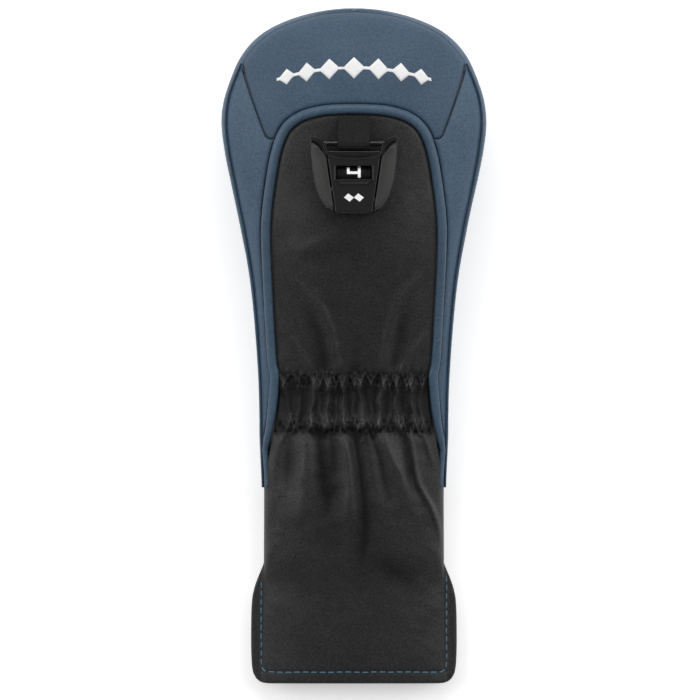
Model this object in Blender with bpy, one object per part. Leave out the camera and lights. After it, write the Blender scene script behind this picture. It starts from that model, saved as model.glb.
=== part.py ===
"""Golf fairway-wood head cover with a swinging number tag, lying on its back.

Metres, +Z up through the front face, +Y towards the crown, X across. Every
length below is in millimetres and is scaled once, by MM.
"""

import math

import bmesh
import bpy
from mathutils import Vector

MM = 0.001

# ---------------------------------------------------------------- dimensions
TIP_Y = 160.0  # top of the crown
MOUTH_Y = -160.0  # open end of the sleeve
CAP_Y = 105.0  # widest station; the dome of the crown starts here
CAP_POWER = 2.5  # roundness of the crown's outline
LAST_BLUE_Y = -67.0  # the blue back gives way to the black sleeve here
WAIST_TOP_Y = -14.0  # upper row of gathering
WAIST_BOTTOM_Y = -40.6  # lower row of gathering
CUFF_TOP_Y = -101.5  # the side flanges start here
FLANGE_HALF = 1.1  # half of the thickness of the sewn flange
GAP = 0.3  # clearance between neighbouring pieces

# Stations down the body: (Y, value)
HALF_WIDTH = [
    (-160, 40.6), (-156, 42.2), (-150, 42.7), (-100, 42.7), (-71, 42.6),
    (-48, 43.4), (-14, 45.1), (8.5, 46.7), (31, 49.1), (54, 53.4),
    (77, 58.3), (94, 61.6), (105, 62.8),
]
CREST_Z = [
    (-160, 16.0), (-145, 17.2), (-120, 19.5), (-100, 23.5), (-75, 28.0),
    (-50, 29.6), (-27, 30.0), (0, 35.0), (25, 41.5), (45, 45.8),
    (62, 47.7), (80, 48.0), (105, 48.0),
]
EDGE_Z = [(-160, 8.5), (-103, 8.5), (-60, 12.0), (-27, 14.0), (0, 15.5), (31, 17.5), (60, 19.3), (105, 20.0)]
# Height of the perimeter seam above the widest line of the section
SEAM_RISE = [(-160, 0.0), (-95, 0.0), (-60, 1.5), (-27, 3.0), (0, 4.5), (31, 6.5), (60, 8.0), (105, 8.0)]
# Depths below the outer face, along the body
SHELL_IN = [(-160, 1.6), (-52, 1.6), (-27, 2.0), (105, 2.0)]
PAD_OUT, PAD_IN = 2.9, 6.2
LINING_OUT = [(-160, 2.7), (-52, 2.7), (-40, 4.4), (-16, 4.4), (-9, 6.8), (105, 6.8)]
LINING_THICK = 1.2
PAD_END_Y = -8.0
LINING_END_Y = -147.6
FACING_START_Y = -148.0
FLAT_BACK = 0.55  # share of the width that lies flat on the table

# Edge of the black insert, right half: (X, Y) from the top of the arch down
INSERT_EDGE = [
    (0, 109.5), (10.6, 109.2), (16.8, 108.4), (23.9, 106.3), (29.3, 102.5),
    (32.6, 97.0), (35.3, 87.6), (37.5, 74.0), (38.8, 62.0), (39.2, 49.7),
    (38.1, 22.7), (36.6, -5.7), (35.4, -14.2), (36.2, -26.0), (37.6, -38.0),
    (39.6, -49.2),
]
PIPING_RADIUS = 2.05
PIPING_OUT = 2.4  # piping's centre line from the insert's edge
PANEL_OUT = 4.85  # edge of the blue panels from the insert's edge
PIPING_END_Y = -44.0
SIDE_END_Y = -38.0

# Seam between crown and side panels, right half
CROWN_SEAM = [(39.4, 98.0), (41.4, 98.9), (42.9, 101.2), (46.3, 110.5), (50.6, 122.0), (54.0, 132.3), (59.0, 147.5)]

# Plan outline of the cuff with its flanges, right half, from the top down
CUFF_EDGE = [
    (41.0, -101.5), (42.4, -102.2), (43.6, -104.8), (45.2, -108.9), (47.2, -114.6),
    (48.3, -120.2), (48.7, -128.0), (48.7, -140.0), (48.5, -150.0), (47.9, -154.3),
    (46.2, -157.4), (43.4, -159.2), (39.5, -159.9), (20.0, -160.0),
]
STITCH_EDGE = [(43.9, -106.0), (43.9, -130.0), (43.9, -150.5), (43.3, -152.9), (41.6, -154.2), (39.0, -154.5), (20.0, -154.6), (0, -154.6)]

# Number tag
BAR_Y, BAR_Z, BAR_R = 95.6, 53.4, 1.4
STRAP_TOP_Y, STRAP_TOP_Z = 107.0, 50.0
STRAP_WIDTH, STRAP_THICK = 14.8, 1.1
LOOP_CLEAR = 0.35
TAG_BACK_Z, TAG_SPLIT_Z, TAG_SHOULDER_Z, TAG_FRONT_Z = 48.6, 50.1, 55.2, 58.6
TAG_TOP_Y, TAG_BOTTOM_Y = 99.0, 62.4
SLOT_Y = 89.4
DRUM_Y, DRUM_Z, DRUM_R, DRUM_HALF = 80.9, 53.5, 4.0, 8.1
AXLE_R = 0.9
AXLE_CLEAR = 0.08

for thing in list(bpy.data.objects):
    bpy.data.objects.remove(thing, do_unlink=True)


# ------------------------------------------------------------------- helpers
def along(table, y):
    """Smooth value of a station table at y (cubic through the stations)."""
    if y <= table[0][0]:
        return table[0][1]
    if y >= table[-1][0]:
        return table[-1][1]
    i = max(k for k in range(len(table) - 1) if table[k][0] <= y)

    def slope(k):
        if k in (0, len(table) - 1):
            return 0.0
        (ya, va), (yb, vb), (yc, vc) = table[k - 1 : k + 2]
        left, right = (vb - va) / (yb - ya), (vc - vb) / (yc - yb)
        return 0.0 if left * right <= 0 else 2 * left * right / (left + right)

    (y0, v0), (y1, v1) = table[i], table[i + 1]
    h = y1 - y0
    t = (y - y0) / h
    return (
        (2 * t**3 - 3 * t**2 + 1) * v0 + (t**3 - 2 * t**2 + t) * h * slope(i)
        + (-2 * t**3 + 3 * t**2) * v1 + (t**3 - t**2) * h * slope(i + 1)
    )


def straight(table, y):
    if y <= table[0][0]:
        return table[0][1]
    for (y0, v0), (y1, v1) in zip(table, table[1:]):
        if y <= y1:
            return v0 + (v1 - v0) * (y - y0) / (y1 - y0)
    return table[-1][1]


def section(y, depth):
    """(half width, edge height, crest height, lowest height, flat half width) at y, at a depth below the outer face."""
    cap = (y - CAP_Y) / (TIP_Y - depth - CAP_Y)
    edge = along(EDGE_Z, y)
    wide, high, low = along(HALF_WIDTH, y), along(CREST_Z, y) - edge, edge
    flat = FLAT_BACK * wide
    if cap > 0:
        round_ = math.sqrt(max(0.0, 1 - cap**CAP_POWER))
        under = math.sqrt(max(0.0, 1 - cap**5))
        return (wide - depth) * round_, edge, edge + (high - depth) * round_, edge - (low - depth) * under, flat * round_
    return wide - depth, edge, edge + high - depth, depth, flat


def ring(y, depth, front=16, side=4, flats=2):
    """Closed section polygon: over the front, then under the back."""
    wide, edge, crest, low, flat = section(y, depth)
    points = []
    for k in range(front + 1):
        angle = math.pi * k / front
        points.append((wide * math.cos(angle), y, edge + (crest - edge) * math.sin(angle)))
    for k in range(1, side + 1):
        angle = math.pi / 2 * k / side
        points.append((-flat - (wide - flat) * math.cos(angle), y, edge - (edge - low) * math.sin(angle)))
    for k in range(1, flats):
        points.append((-flat + 2 * flat * k / flats, y, low))
    for k in range(side, 0, -1):
        angle = math.pi / 2 * k / side
        points.append((flat + (wide - flat) * math.cos(angle), y, edge - (edge - low) * math.sin(angle)))
    return points


def front_z(x, y):
    """Height of the outer front face."""
    wide, edge, crest, _, _ = section(y, 0.0)
    return edge + (crest - edge) * math.sqrt(max(0.0, 1 - (x / wide) ** 2))


def front_normal(x, y):
    e = 0.2
    wide = section(y, 0.0)[0]
    x = max(-wide + 2 * e, min(wide - 2 * e, x))
    dx = (front_z(x + e, y) - front_z(x - e, y)) / (2 * e)
    dy = (front_z(x, y + e) - front_z(x, y - e)) / (2 * e)
    return Vector((-dx, -dy, 1.0)).normalized()


def make(name, points, faces, node=False):
    mesh = bpy.data.meshes.new(name)
    mesh.from_pydata([tuple(c * MM for c in p) for p in points], [], faces)
    work = bmesh.new()
    work.from_mesh(mesh)
    bmesh.ops.triangulate(work, faces=work.faces[:])
    bmesh.ops.recalc_face_normals(work, faces=work.faces[:])
    work.to_mesh(mesh)
    work.free()
    obj = bpy.data.objects.new(name, mesh)
    bpy.context.scene.collection.objects.link(obj)
    if not node:
        obj.hide_render = True
        obj.display_type = "WIRE"
    return obj


def loft_data(rings, tip=None):
    n = len(rings[0])
    points = [p for r in rings for p in r]
    faces = [list(range(n))]
    for i in range(len(rings) - 1):
        for k in range(n):
            faces.append([i * n + k, i * n + (k + 1) % n, (i + 1) * n + (k + 1) % n, (i + 1) * n + k])
    last = (len(rings) - 1) * n
    if tip is None:
        faces.append([last + k for k in reversed(range(n))])
    else:
        points.append(tip)
        for k in range(n):
            faces.append([last + k, last + (k + 1) % n, len(points) - 1])
    return points, faces


def body_loft(name, depth, start=MOUTH_Y, coarse=False, node=False):
    """Closed solid inside the surface that lies `depth(y)` below the outer face."""
    stations = [-160, -156, -148, -125, -98, -75, -52, -40, -27, -16, -9, 6, 24, 42, 60, 82, 105]
    if coarse:
        stations = [-160, -125, -98, -75, -52, -40, -27, -16, -9, 6, 24, 42, 60, 82, 105]
    stations = [start] + [y for y in stations if y > start]
    inner = depth(CAP_Y)
    counts = dict(front=10, side=3, flats=1) if coarse else {}
    rings = [ring(y, depth(y), **counts) for y in stations]
    steps = 5 if coarse else 8
    for k in range(1, steps):
        angle = math.pi / 2 * k / steps
        y = CAP_Y + (TIP_Y - inner - CAP_Y) * math.sin(angle) ** (2 / CAP_POWER)
        rings.append(ring(y, inner, **counts))
    tip = (0.0, TIP_Y - inner, section(TIP_Y, 0.0)[1])
    return make(name, *loft_data(rings, tip), node=node)


def prism_data(outline, low, high):
    n = len(outline)
    points = [(x, y, low) for x, y in outline] + [(x, y, high) for x, y in outline]
    faces = [list(range(n))[::-1], [n + k for k in range(n)]]
    faces += [[k, (k + 1) % n, n + (k + 1) % n, n + k] for k in range(n)]
    return points, faces


def prism(name, outline, low, high, node=False):
    return make(name, *prism_data(outline, low, high), node=node)


def box(name, x0, x1, y0, y1, z0, z1, node=False):
    return prism(name, [(x0, y0), (x1, y0), (x1, y1), (x0, y1)], z0, z1, node=node)


def rod(name, axis, centre, radius, start, end, sides=24, node=False, ends=None):
    """Cylinder along 'x', 'y' or 'z'; `ends` gives a second radius for a cone."""
    other = radius if ends is None else ends
    rings = []
    for where, r in ((start, radius), (end, other)):
        around = []
        for k in range(sides):
            a = 2 * math.pi * k / sides
            u, v = r * math.cos(a), r * math.sin(a)
            if axis == "x":
                around.append((where, centre[0] + u, centre[1] + v))
            elif axis == "y":
                around.append((centre[0] + u, where, centre[1] + v))
            else:
                around.append((centre[0] + u, centre[1] + v, where))
        rings.append(around)
    return make(name, *loft_data(rings), node=node)


def cut(obj, operation, tool):
    step = obj.modifiers.new(operation.lower() + "_" + tool.name, "BOOLEAN")
    step.operation = operation
    step.solver = "EXACT"
    step.object = tool


def mirror_path(half):
    """Right half from the middle outwards to a whole path, left end first."""
    left = [(-x, y) for x, y in reversed(half)]
    return left + [p for p in half if p[0] > 1e-6]


def smooth_path(points, per):
    out = []
    for i in range(len(points) - 1):
        p0 = points[max(i - 1, 0)]
        p1, p2 = points[i], points[i + 1]
        p3 = points[min(i + 2, len(points) - 1)]
        for k in range(per):
            t = k / per
            out.append(tuple(
                0.5 * (2 * b + (c - a) * t + (2 * a - 5 * b + 4 * c - d) * t * t + (3 * b - a - 3 * c + d) * t**3)
                for a, b, c, d in zip(p0, p1, p2, p3)
            ))
    out.append(points[-1])
    return out


def shift(path, distance):
    """Plan path moved sideways; positive is outwards, to the left of a path that runs left to right over the arch."""
    out = []
    for i, (x, y) in enumerate(path):
        xa, ya = path[max(i - 1, 0)]
        xb, yb = path[min(i + 1, len(path) - 1)]
        dx, dy = xb - xa, yb - ya
        size = math.hypot(dx, dy)
        out.append((x - dy / size * distance, y + dx / size * distance))
    return out


def above(path, y_low):
    """The part of an arch path above y_low, with both ends cut exactly there."""
    out = []
    for (xa, ya), (xb, yb) in zip(path, path[1:]):
        if ya < y_low <= yb:
            t = (y_low - ya) / (yb - ya)
            out.append((xa + (xb - xa) * t, y_low))
        if yb >= y_low:
            out.append((xb, yb))
        elif ya >= y_low:
            t = (y_low - ya) / (yb - ya)
            out.append((xa + (xb - xa) * t, y_low))
    if path[0][1] >= y_low:
        out.insert(0, path[0])
    return out


def half_at(path, y):
    """Half width of an arch path at y."""
    for (xa, ya), (xb, yb) in zip(path, path[1:]):
        if xa > 0 and yb <= y <= ya:
            t = (y - ya) / (yb - ya) if yb != ya else 0
            return xa + (xb - xa) * t
    return path[-1][0]


def tube(name, path, radius, sides, node=True):
    """Round bead along 3-D points with their surface normals: [(point, normal)]."""
    rings = []
    for i, (point, up) in enumerate(path):
        ahead = path[min(i + 1, len(path) - 1)][0] - path[max(i - 1, 0)][0]
        ahead.normalize()
        across = ahead.cross(up).normalized()
        lift = across.cross(ahead)
        rings.append([
            tuple(point + radius * (math.cos(a) * across + math.sin(a) * lift))
            for a in (2 * math.pi * k / sides for k in range(sides))
        ])
    return make(name, *loft_data(rings), node=node)


def paint(obj, colour, rough, metallic=0.0, smooth=True):
    mat = bpy.data.materials.new(obj.name + "_material")
    mat.use_nodes = True
    shader = mat.node_tree.nodes["Principled BSDF"]
    shader.inputs["Base Color"].default_value = (*colour, 1.0)
    shader.inputs["Roughness"].default_value = rough
    shader.inputs["Metallic"].default_value = metallic
    obj.data.materials.append(mat)
    if smooth:
        for face in obj.data.polygons:
            face.use_smooth = True


BLUE, BLACK, GREY, WHITE = (0.075, 0.115, 0.165), (0.022, 0.022, 0.023), (0.05, 0.05, 0.05), (0.8, 0.8, 0.8)
FLEECE, FOAM = (0.06, 0.06, 0.065), (0.35, 0.35, 0.33)

# ------------------------------------------------------------------- cutters
def shell_in(y):
    return along(SHELL_IN, y)


cavity = body_loft("cutter_cavity", shell_in, start=-168)
stations = [-175, -160, -130, -103, -95, -80, -60, -45, -27, -14, 0, 15, 31, 45, 60, 80, 105, 170]
upper = make("cutter_upper", *loft_data([
    [(-90, y, along(EDGE_Z, y) + along(SEAM_RISE, y) + GAP / 2), (90, y, along(EDGE_Z, y) + along(SEAM_RISE, y) + GAP / 2), (90, y, 95), (-90, y, 95)]
    for y in stations
]))
lower = make("cutter_lower", *loft_data([
    [(-90, y, -20), (90, y, -20), (90, y, along(EDGE_Z, y) + along(SEAM_RISE, y) - GAP / 2), (-90, y, along(EDGE_Z, y) + along(SEAM_RISE, y) - GAP / 2)]
    for y in stations
]))
cuff_outline = CUFF_EDGE + [(-x, y) for x, y in reversed(CUFF_EDGE)]
flange = prism("cutter_flange", cuff_outline, 8.5 - FLANGE_HALF, 8.5 + FLANGE_HALF)

arch = mirror_path(smooth_path(INSERT_EDGE, 3))
insert_path = shift(arch, -GAP / 2)
panel_path = shift(arch, PANEL_OUT)

insert_plan = above(insert_path, WAIST_TOP_Y + GAP / 2)
waist_rows = [WAIST_TOP_Y - GAP / 2 - 3.3 * k for k in range(8)] + [WAIST_BOTTOM_Y + GAP / 2]
waist_plan = [(half_at(insert_path, y), y) for y in waist_rows]
waist_plan = [(-x, y) for x, y in waist_plan] + waist_plan[::-1]
sock_half = [(half_at(insert_path, y), y) for y in (WAIST_BOTTOM_Y - GAP / 2, -43.0, -46.0)]
sock_plan = sock_half + [(70, -46.2), (70, -175), (-70, -175), (-70, -46.2)] + [(-x, y) for x, y in sock_half[::-1]]

seam_in = shift(CROWN_SEAM, GAP / 2)
seam_out = shift(CROWN_SEAM, -GAP / 2)
crown_low = above(panel_path, 98.15)
crown_plan = crown_low + seam_in + [(62, 152), (62, 175), (-62, 175), (-62, 152)] + [(-x, y) for x, y in seam_in[::-1]]
panel_right = [(x, y) for x, y in panel_path if x > 0 and SIDE_END_Y < y < 97.8]
side_plan = (
    panel_right + [(half_at(panel_path, SIDE_END_Y), SIDE_END_Y), (95, SIDE_END_Y), (95, 150)] + seam_out[::-1]
)

# ---------------------------------------------------------------- soft goods
def front_panel(name, outline, colour, rough, cuff=False):
    obj = body_loft(name, lambda y: 0.0, node=True)
    if cuff:
        cut(obj, "UNION", flange)
    cut(obj, "DIFFERENCE", cavity)
    cut(obj, "INTERSECT", upper)
    cut(obj, "INTERSECT", prism("cutter_" + name, outline, -30, 110))
    paint(obj, colour, rough)
    return obj


front_panel("crown_panel", crown_plan, BLUE, 0.5)
front_panel("side_panel_right", side_plan, BLUE, 0.5)
front_panel("side_panel_left", [(-x, y) for x, y in side_plan[::-1]], BLUE, 0.5)
front_panel("front_insert_panel", insert_plan, BLACK, 0.6)
front_panel("waist_gather_band", waist_plan, BLACK, 0.6)
front_panel("sock_front_panel", sock_plan, BLACK, 0.6, cuff=True)

back = body_loft("back_panel", lambda y: 0.0, node=True)
cut(back, "DIFFERENCE", cavity)
cut(back, "INTERSECT", lower)
cut(back, "INTERSECT", box("cutter_back_panel", -95, 95, LAST_BLUE_Y + GAP / 2, 175, -30, 110))
paint(back, BLUE, 0.5)
sleeve = body_loft("sock_back_panel", lambda y: 0.0, node=True)
cut(sleeve, "UNION", flange)
cut(sleeve, "DIFFERENCE", cavity)
cut(sleeve, "INTERSECT", lower)
cut(sleeve, "INTERSECT", box("cutter_sock_back", -95, 95, -175, LAST_BLUE_Y - GAP / 2, -30, 110))
paint(sleeve, BLACK, 0.6)

# Piping: a round bead bedded in the seam round the insert
centre = above(shift(arch, PIPING_OUT), PIPING_END_Y)
bead = []
for x, y in centre[::2] if len(centre) % 2 else centre[::2] + [centre[-1]]:
    up = front_normal(x, y)
    bead.append((Vector((x, y, front_z(x, y))) + 0.1 * up, up))
paint(tube("insert_piping", bead, PIPING_RADIUS, 8), BLUE, 0.45)

# Padding, lining, elastic and facing: layers inside the shell
pad_in = body_loft("cutter_pad_in", lambda y: PAD_IN, start=-20, coarse=True)
lining_in = body_loft("cutter_lining_in", lambda y: straight(LINING_OUT, y) + LINING_THICK, start=-168, coarse=True)
head_zone = box("cutter_head_zone", -95, 95, PAD_END_Y, 175, -30, 110)
lining_zone = box("cutter_lining_zone", -95, 95, LINING_END_Y, 175, -30, 110)


def layer(name, outer, inner, half, zone, colour, rough, start):
    obj = body_loft(name, outer, start=start, coarse=True, node=True)
    cut(obj, "DIFFERENCE", inner)
    cut(obj, "INTERSECT", half)
    cut(obj, "INTERSECT", zone)
    paint(obj, colour, rough)


for name, half in (("front", upper), ("back", lower)):
    layer("padding_" + name, lambda y: PAD_OUT, pad_in, half, head_zone, FOAM, 0.9, -16)
    layer("lining_" + name, lambda y: straight(LINING_OUT, y), lining_in, half, lining_zone, FLEECE, 0.95, -160)

elastic_in = body_loft("cutter_elastic_in", lambda y: 3.6, start=-52, coarse=True)
layer(
    "waist_elastic", lambda y: 2.4, elastic_in, upper,
    box("cutter_elastic_zone", -33, 33, WAIST_BOTTOM_Y + 2.0, WAIST_TOP_Y - 3.0, -30, 110), GREY, 0.8, -50,
)
facing_in = body_loft("cutter_facing_in", lambda y: 3.2, start=-168, coarse=True)
for name, half in (("front", upper), ("back", lower)):
    layer(
        "mouth_facing_" + name, lambda y: 2.1, facing_in, half,
        box("cutter_facing_" + name, -95, 95, MOUTH_Y + 0.5, FACING_START_Y, -30, 110), BLACK, 0.6, -160,
    )

# Row of thread round the cuff
def cuff_z(x, y):
    flat = 8.5 + FLANGE_HALF
    return max(flat, front_z(x, y)) if abs(x) < section(y, 0.0)[0] else flat


thread = []
for x, y in mirror_path([(0.0, -154.6)] + smooth_path(STITCH_EDGE[::-1], 3)[1:]):
    thread.append((Vector((x, y, cuff_z(x, y) + 0.75)), Vector((0, 0, 1))))
paint(tube("cuff_topstitch", thread, 0.4, 5), (0.08, 0.17, 0.24), 0.6)

# Embroidery on the crown: a curved chain of seven lozenges, (middle, half length, half height)
LOZENGES = [(0.0, 5.3, 5.4), (11.6, 5.0, 5.1), (22.3, 4.5, 4.6), (31.8, 4.0, 3.9)]
LOZENGES = [(-x, a, b) for x, a, b in LOZENGES[:0:-1]] + LOZENGES
CHAIN_HALF = 0.8


def chain_half(x):
    return max([CHAIN_HALF] + [b * (1 - abs(x - middle) / a) for middle, a, b in LOZENGES])


stops = sorted({round(v, 4) for x, a, b in LOZENGES for v in (x - a * (1 - CHAIN_HALF / b), x, x + a * (1 - CHAIN_HALF / b))} | {-36.5, 36.5})
motif = [(x, 131.4 - 5.6 * (x / 36.5) ** 2 + chain_half(x)) for x in stops]
motif += [(x, 131.4 - 5.6 * (x / 36.5) ** 2 - chain_half(x)) for x in stops[::-1]]
badge = body_loft("crown_embroidery", lambda y: -1.0, start=60, node=True)
cut(badge, "DIFFERENCE", body_loft("cutter_embroidery_in", lambda y: -0.35, start=40))
cut(badge, "INTERSECT", prism("cutter_embroidery", motif, 20, 110))
paint(badge, WHITE, 0.7)

# ----------------------------------------------------------------- webbing
def loop_outline(r_top, r_bar, top_y, top_z, steps=10):
    """Teardrop round two circles in the Y-Z plane."""
    dy, dz = top_y - BAR_Y, top_z - BAR_Z
    reach = math.hypot(dy, dz)
    lean = math.atan2(dz, dy)
    spread = math.acos((r_bar - r_top) / reach)
    points = []
    for k in range(steps + 1):
        a = lean - spread + 2 * spread * k / steps
        points.append((top_y + r_top * math.cos(a), top_z + r_top * math.sin(a)))
    for k in range(steps + 1):
        a = lean + spread + (2 * math.pi - 2 * spread) * k / steps
        points.append((BAR_Y + r_bar * math.cos(a), BAR_Z + r_bar * math.sin(a)))
    return points


def along_x(name, outline, half, node=False):
    n = len(outline)
    points = [(-half, y, z) for y, z in outline] + [(half, y, z) for y, z in outline]
    faces = [list(range(n)), [2 * n - 1 - k for k in range(n)]]
    faces += [[k, (k + 1) % n, n + (k + 1) % n, n + k] for k in range(n)]
    return make(name, points, faces, node=node)


loop_r = BAR_R + LOOP_CLEAR
strap = along_x("webbing_strap", loop_outline(1.4, loop_r + STRAP_THICK, STRAP_TOP_Y, STRAP_TOP_Z), STRAP_WIDTH / 2, node=True)
part_way = 0.72
cut(strap, "DIFFERENCE", along_x(
    "cutter_strap_loop",
    loop_outline(0.35, loop_r, BAR_Y + (STRAP_TOP_Y - BAR_Y) * part_way, BAR_Z + (STRAP_TOP_Z - BAR_Z) * part_way), 12,
))
paint(strap, (0.03, 0.03, 0.03), 0.85)

# --------------------------------------------------------------- number tag
edge_right = [(20.3, 98.9), (20.4, 96.0), (20.1, 89.0), (19.2, 80.0), (17.2, 71.5), (13.4, 65.0), (10.2, 62.7), (8.6, TAG_BOTTOM_Y)]
inner_right = [(12.3, SLOT_Y), (12.6, 92.0), (13.4, 94.6), (15.0, 96.9), (17.4, 98.4)]
tag_plan = inner_right + edge_right + [(-x, y) for x, y in edge_right[::-1]] + [(-x, y) for x, y in inner_right[::-1]]
shell = prism("tag_front_shell", tag_plan, TAG_SPLIT_Z, TAG_SHOULDER_Z, node=True)
middle = [(12.5, 89.6), (8.9, 64.2), (7.6, 62.5), (-7.6, 62.5), (-8.9, 64.2), (-12.5, 89.6)]
cut(shell, "UNION", prism("cutter_tag_middle", middle, 52, TAG_FRONT_Z))
horn = [(12.7, 91.6), (13.5, 94.5), (15.1, 96.8), (17.5, 98.3), (20.2, 98.8), (20.2, 96.9), (18.2, 96.4), (16.3, 94.8), (15.0, 92.4), (14.4, 90.2), (13.0, 90.2)]
for side, sign in (("right", 1), ("left", -1)):
    cut(shell, "UNION", prism("cutter_horn_" + side, [(sign * x, y) for x, y in horn][::sign], 52, TAG_FRONT_Z - 0.5))
cut(shell, "UNION", rod("cutter_bar", "x", (BAR_Y, BAR_Z), BAR_R, -15.2, 15.2, sides=20))
cut(shell, "DIFFERENCE", box("cutter_tag_hollow", -8.9, 8.9, 75.0, 86.0, 40, 56.9))
cut(shell, "DIFFERENCE", prism("cutter_window", [(8.6, 84.9), (-8.6, 84.9), (-8.6, 78.4), (-6.6, 76.6), (6.6, 76.6), (8.6, 78.4)], 40, 70))
cut(shell, "DIFFERENCE", box("cutter_axle_slot", -10.6, 10.6, DRUM_Y - AXLE_R - AXLE_CLEAR, DRUM_Y + AXLE_R + AXLE_CLEAR, 40, DRUM_Z + AXLE_R + AXLE_CLEAR))
for side, sign in (("right", 1), ("left", -1)):
    cut(shell, "DIFFERENCE", rod("cutter_boss_" + side, "z", (sign * 5.5, 69.2), 0.95, 40, 55.4, sides=12))
paint(shell, (0.018, 0.018, 0.018), 0.25, smooth=False)

cover_plan = [(12.0, 89.0), (19.6, 88.6), (18.7, 80.0), (16.7, 71.8), (13.0, 65.5), (10.0, 63.3), (8.5, 63.0)]
cover_plan = cover_plan + [(-x, y) for x, y in cover_plan[::-1]]
cover = prism("tag_back_cover", cover_plan, TAG_BACK_Z, TAG_SPLIT_Z - GAP, node=True)
for side, x0 in (("right", 9.25), ("left", -10.25)):
    cut(cover, "UNION", box("cutter_axle_post_" + side, x0, x0 + 1.0, DRUM_Y - 0.65, DRUM_Y + 0.65, TAG_BACK_Z + 0.4, DRUM_Z - AXLE_R - AXLE_CLEAR))
cut(cover, "DIFFERENCE", box("cutter_thumb_window", -8.6, 8.6, 76.4, 85.4, 40, 70))
for side, sign in (("right", 1), ("left", -1)):
    cut(cover, "DIFFERENCE", rod("cutter_cover_hole_" + side, "z", (sign * 5.5, 69.2), 2.3, TAG_BACK_Z - 0.1, TAG_SPLIT_Z, sides=16, ends=1.05))
paint(cover, (0.02, 0.02, 0.02), 0.4, smooth=False)

wing = [(19.9, 96.2), (18.2, 95.7), (16.8, 94.2), (15.5, 92.0), (14.85, 89.75), (13.1, 89.65), (12.9, 89.2), (9.4, 64.5), (10.1, 63.3), (13.1, 65.5), (16.8, 71.8), (18.8, 80.0), (19.7, 89.0)]
for side, sign in (("right", 1), ("left", -1)):
    cap = prism("wing_cap_" + side, [(sign * x, y) for x, y in wing][::sign], TAG_SHOULDER_Z + GAP, TAG_FRONT_Z - 0.7, node=True)
    paint(cap, (0.055, 0.055, 0.053), 0.4, smooth=False)

# Drum: a cylinder with four raised numerals a quarter turn apart
NUMERALS = {
    "4": [(-3.0, -1.8, -0.3, 2.9), (-3.0, 1.9, -1.1, 0.1), (1.5, 2.8, -2.9, 2.9)],
    "3": [(-2.6, 2.6, 1.8, 2.9), (-1.4, 2.6, -0.6, 0.6), (-2.6, 2.6, -2.9, -1.8), (1.4, 2.6, -2.9, 2.9)],
    "5": [(-2.6, 2.6, 1.8, 2.9), (-2.6, 2.6, -0.6, 0.6), (-2.6, 2.6, -2.9, -1.8), (-2.6, -1.4, -0.6, 2.9), (1.4, 2.6, -2.9, 0.6)],
    "7": [(-2.6, 2.6, 1.8, 2.9), (1.3, 2.6, -2.9, 2.9)],
}


def wrapped_block(name, x0, x1, v0, v1, turn):
    """Raised block on the drum, from v0 to v1 along the arc, turned round the axle."""
    inner, outer = DRUM_R - 0.5, DRUM_R + 0.2
    arc = []
    steps = 4 if v1 - v0 > 3 else 2
    for k in range(steps + 1):
        a = turn - (v0 + (v1 - v0) * k / steps) / DRUM_R
        arc.append(a)
    outline = [(DRUM_Y - outer * math.sin(a), DRUM_Z + outer * math.cos(a)) for a in arc]
    outline += [(DRUM_Y - inner * math.sin(a), DRUM_Z + inner * math.cos(a)) for a in arc[::-1]]
    n = len(outline)
    points = [(x0, y, z) for y, z in outline] + [(x1, y, z) for y, z in outline]
    faces = [list(range(n)), [2 * n - 1 - k for k in range(n)]]
    faces += [[k, (k + 1) % n, n + (k + 1) % n, n + k] for k in range(n)]
    return make(name, points, faces)


drum = rod("number_drum", "x", (DRUM_Y, DRUM_Z), DRUM_R, -DRUM_HALF, DRUM_HALF, sides=32, node=True)
for index, digit in enumerate("4357"):
    for k, (x0, x1, v0, v1) in enumerate(NUMERALS[digit]):
        shift_up = 1.0 if digit == "4" else 0.0
        cut(drum, "UNION", wrapped_block(f"cutter_digit_{digit}_{k}", x0, x1, v0 + shift_up, v1 + shift_up, math.pi / 2 * index))
cut(drum, "DIFFERENCE", rod("cutter_drum_bore", "x", (DRUM_Y, DRUM_Z), AXLE_R + AXLE_CLEAR, -12, 12, sides=20))
for k in range(4):
    a = math.pi / 2 * k
    where = (DRUM_Y - (DRUM_R + 0.25) * math.cos(a), DRUM_Z - (DRUM_R + 0.25) * math.sin(a))
    cut(drum, "DIFFERENCE", rod(f"cutter_detent_{k}", "x", where, 0.7, 4.6, 6.2, sides=12))
paint(drum, (0.015, 0.015, 0.015), 0.3)
axle = rod("drum_axle", "x", (DRUM_Y, DRUM_Z), AXLE_R, -10.3, 10.3, sides=20, node=True)
paint(axle, (0.5, 0.5, 0.5), 0.3, 1.0)

# Leaf spring below the drum, with a bump that faces a detent
leaf = [(75.35, 51.2), (75.35, 56.4), (75.65, 56.4), (75.65, 54.6), (76.2, 53.9), (76.2, 53.1), (75.65, 52.4), (75.65, 51.2)]
spring = along_x("detent_spring", leaf, 0.6, node=True)
for point in spring.data.vertices:
    point.co.x += 5.4 * MM
paint(spring, (0.45, 0.45, 0.45), 0.3, 1.0)

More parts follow.
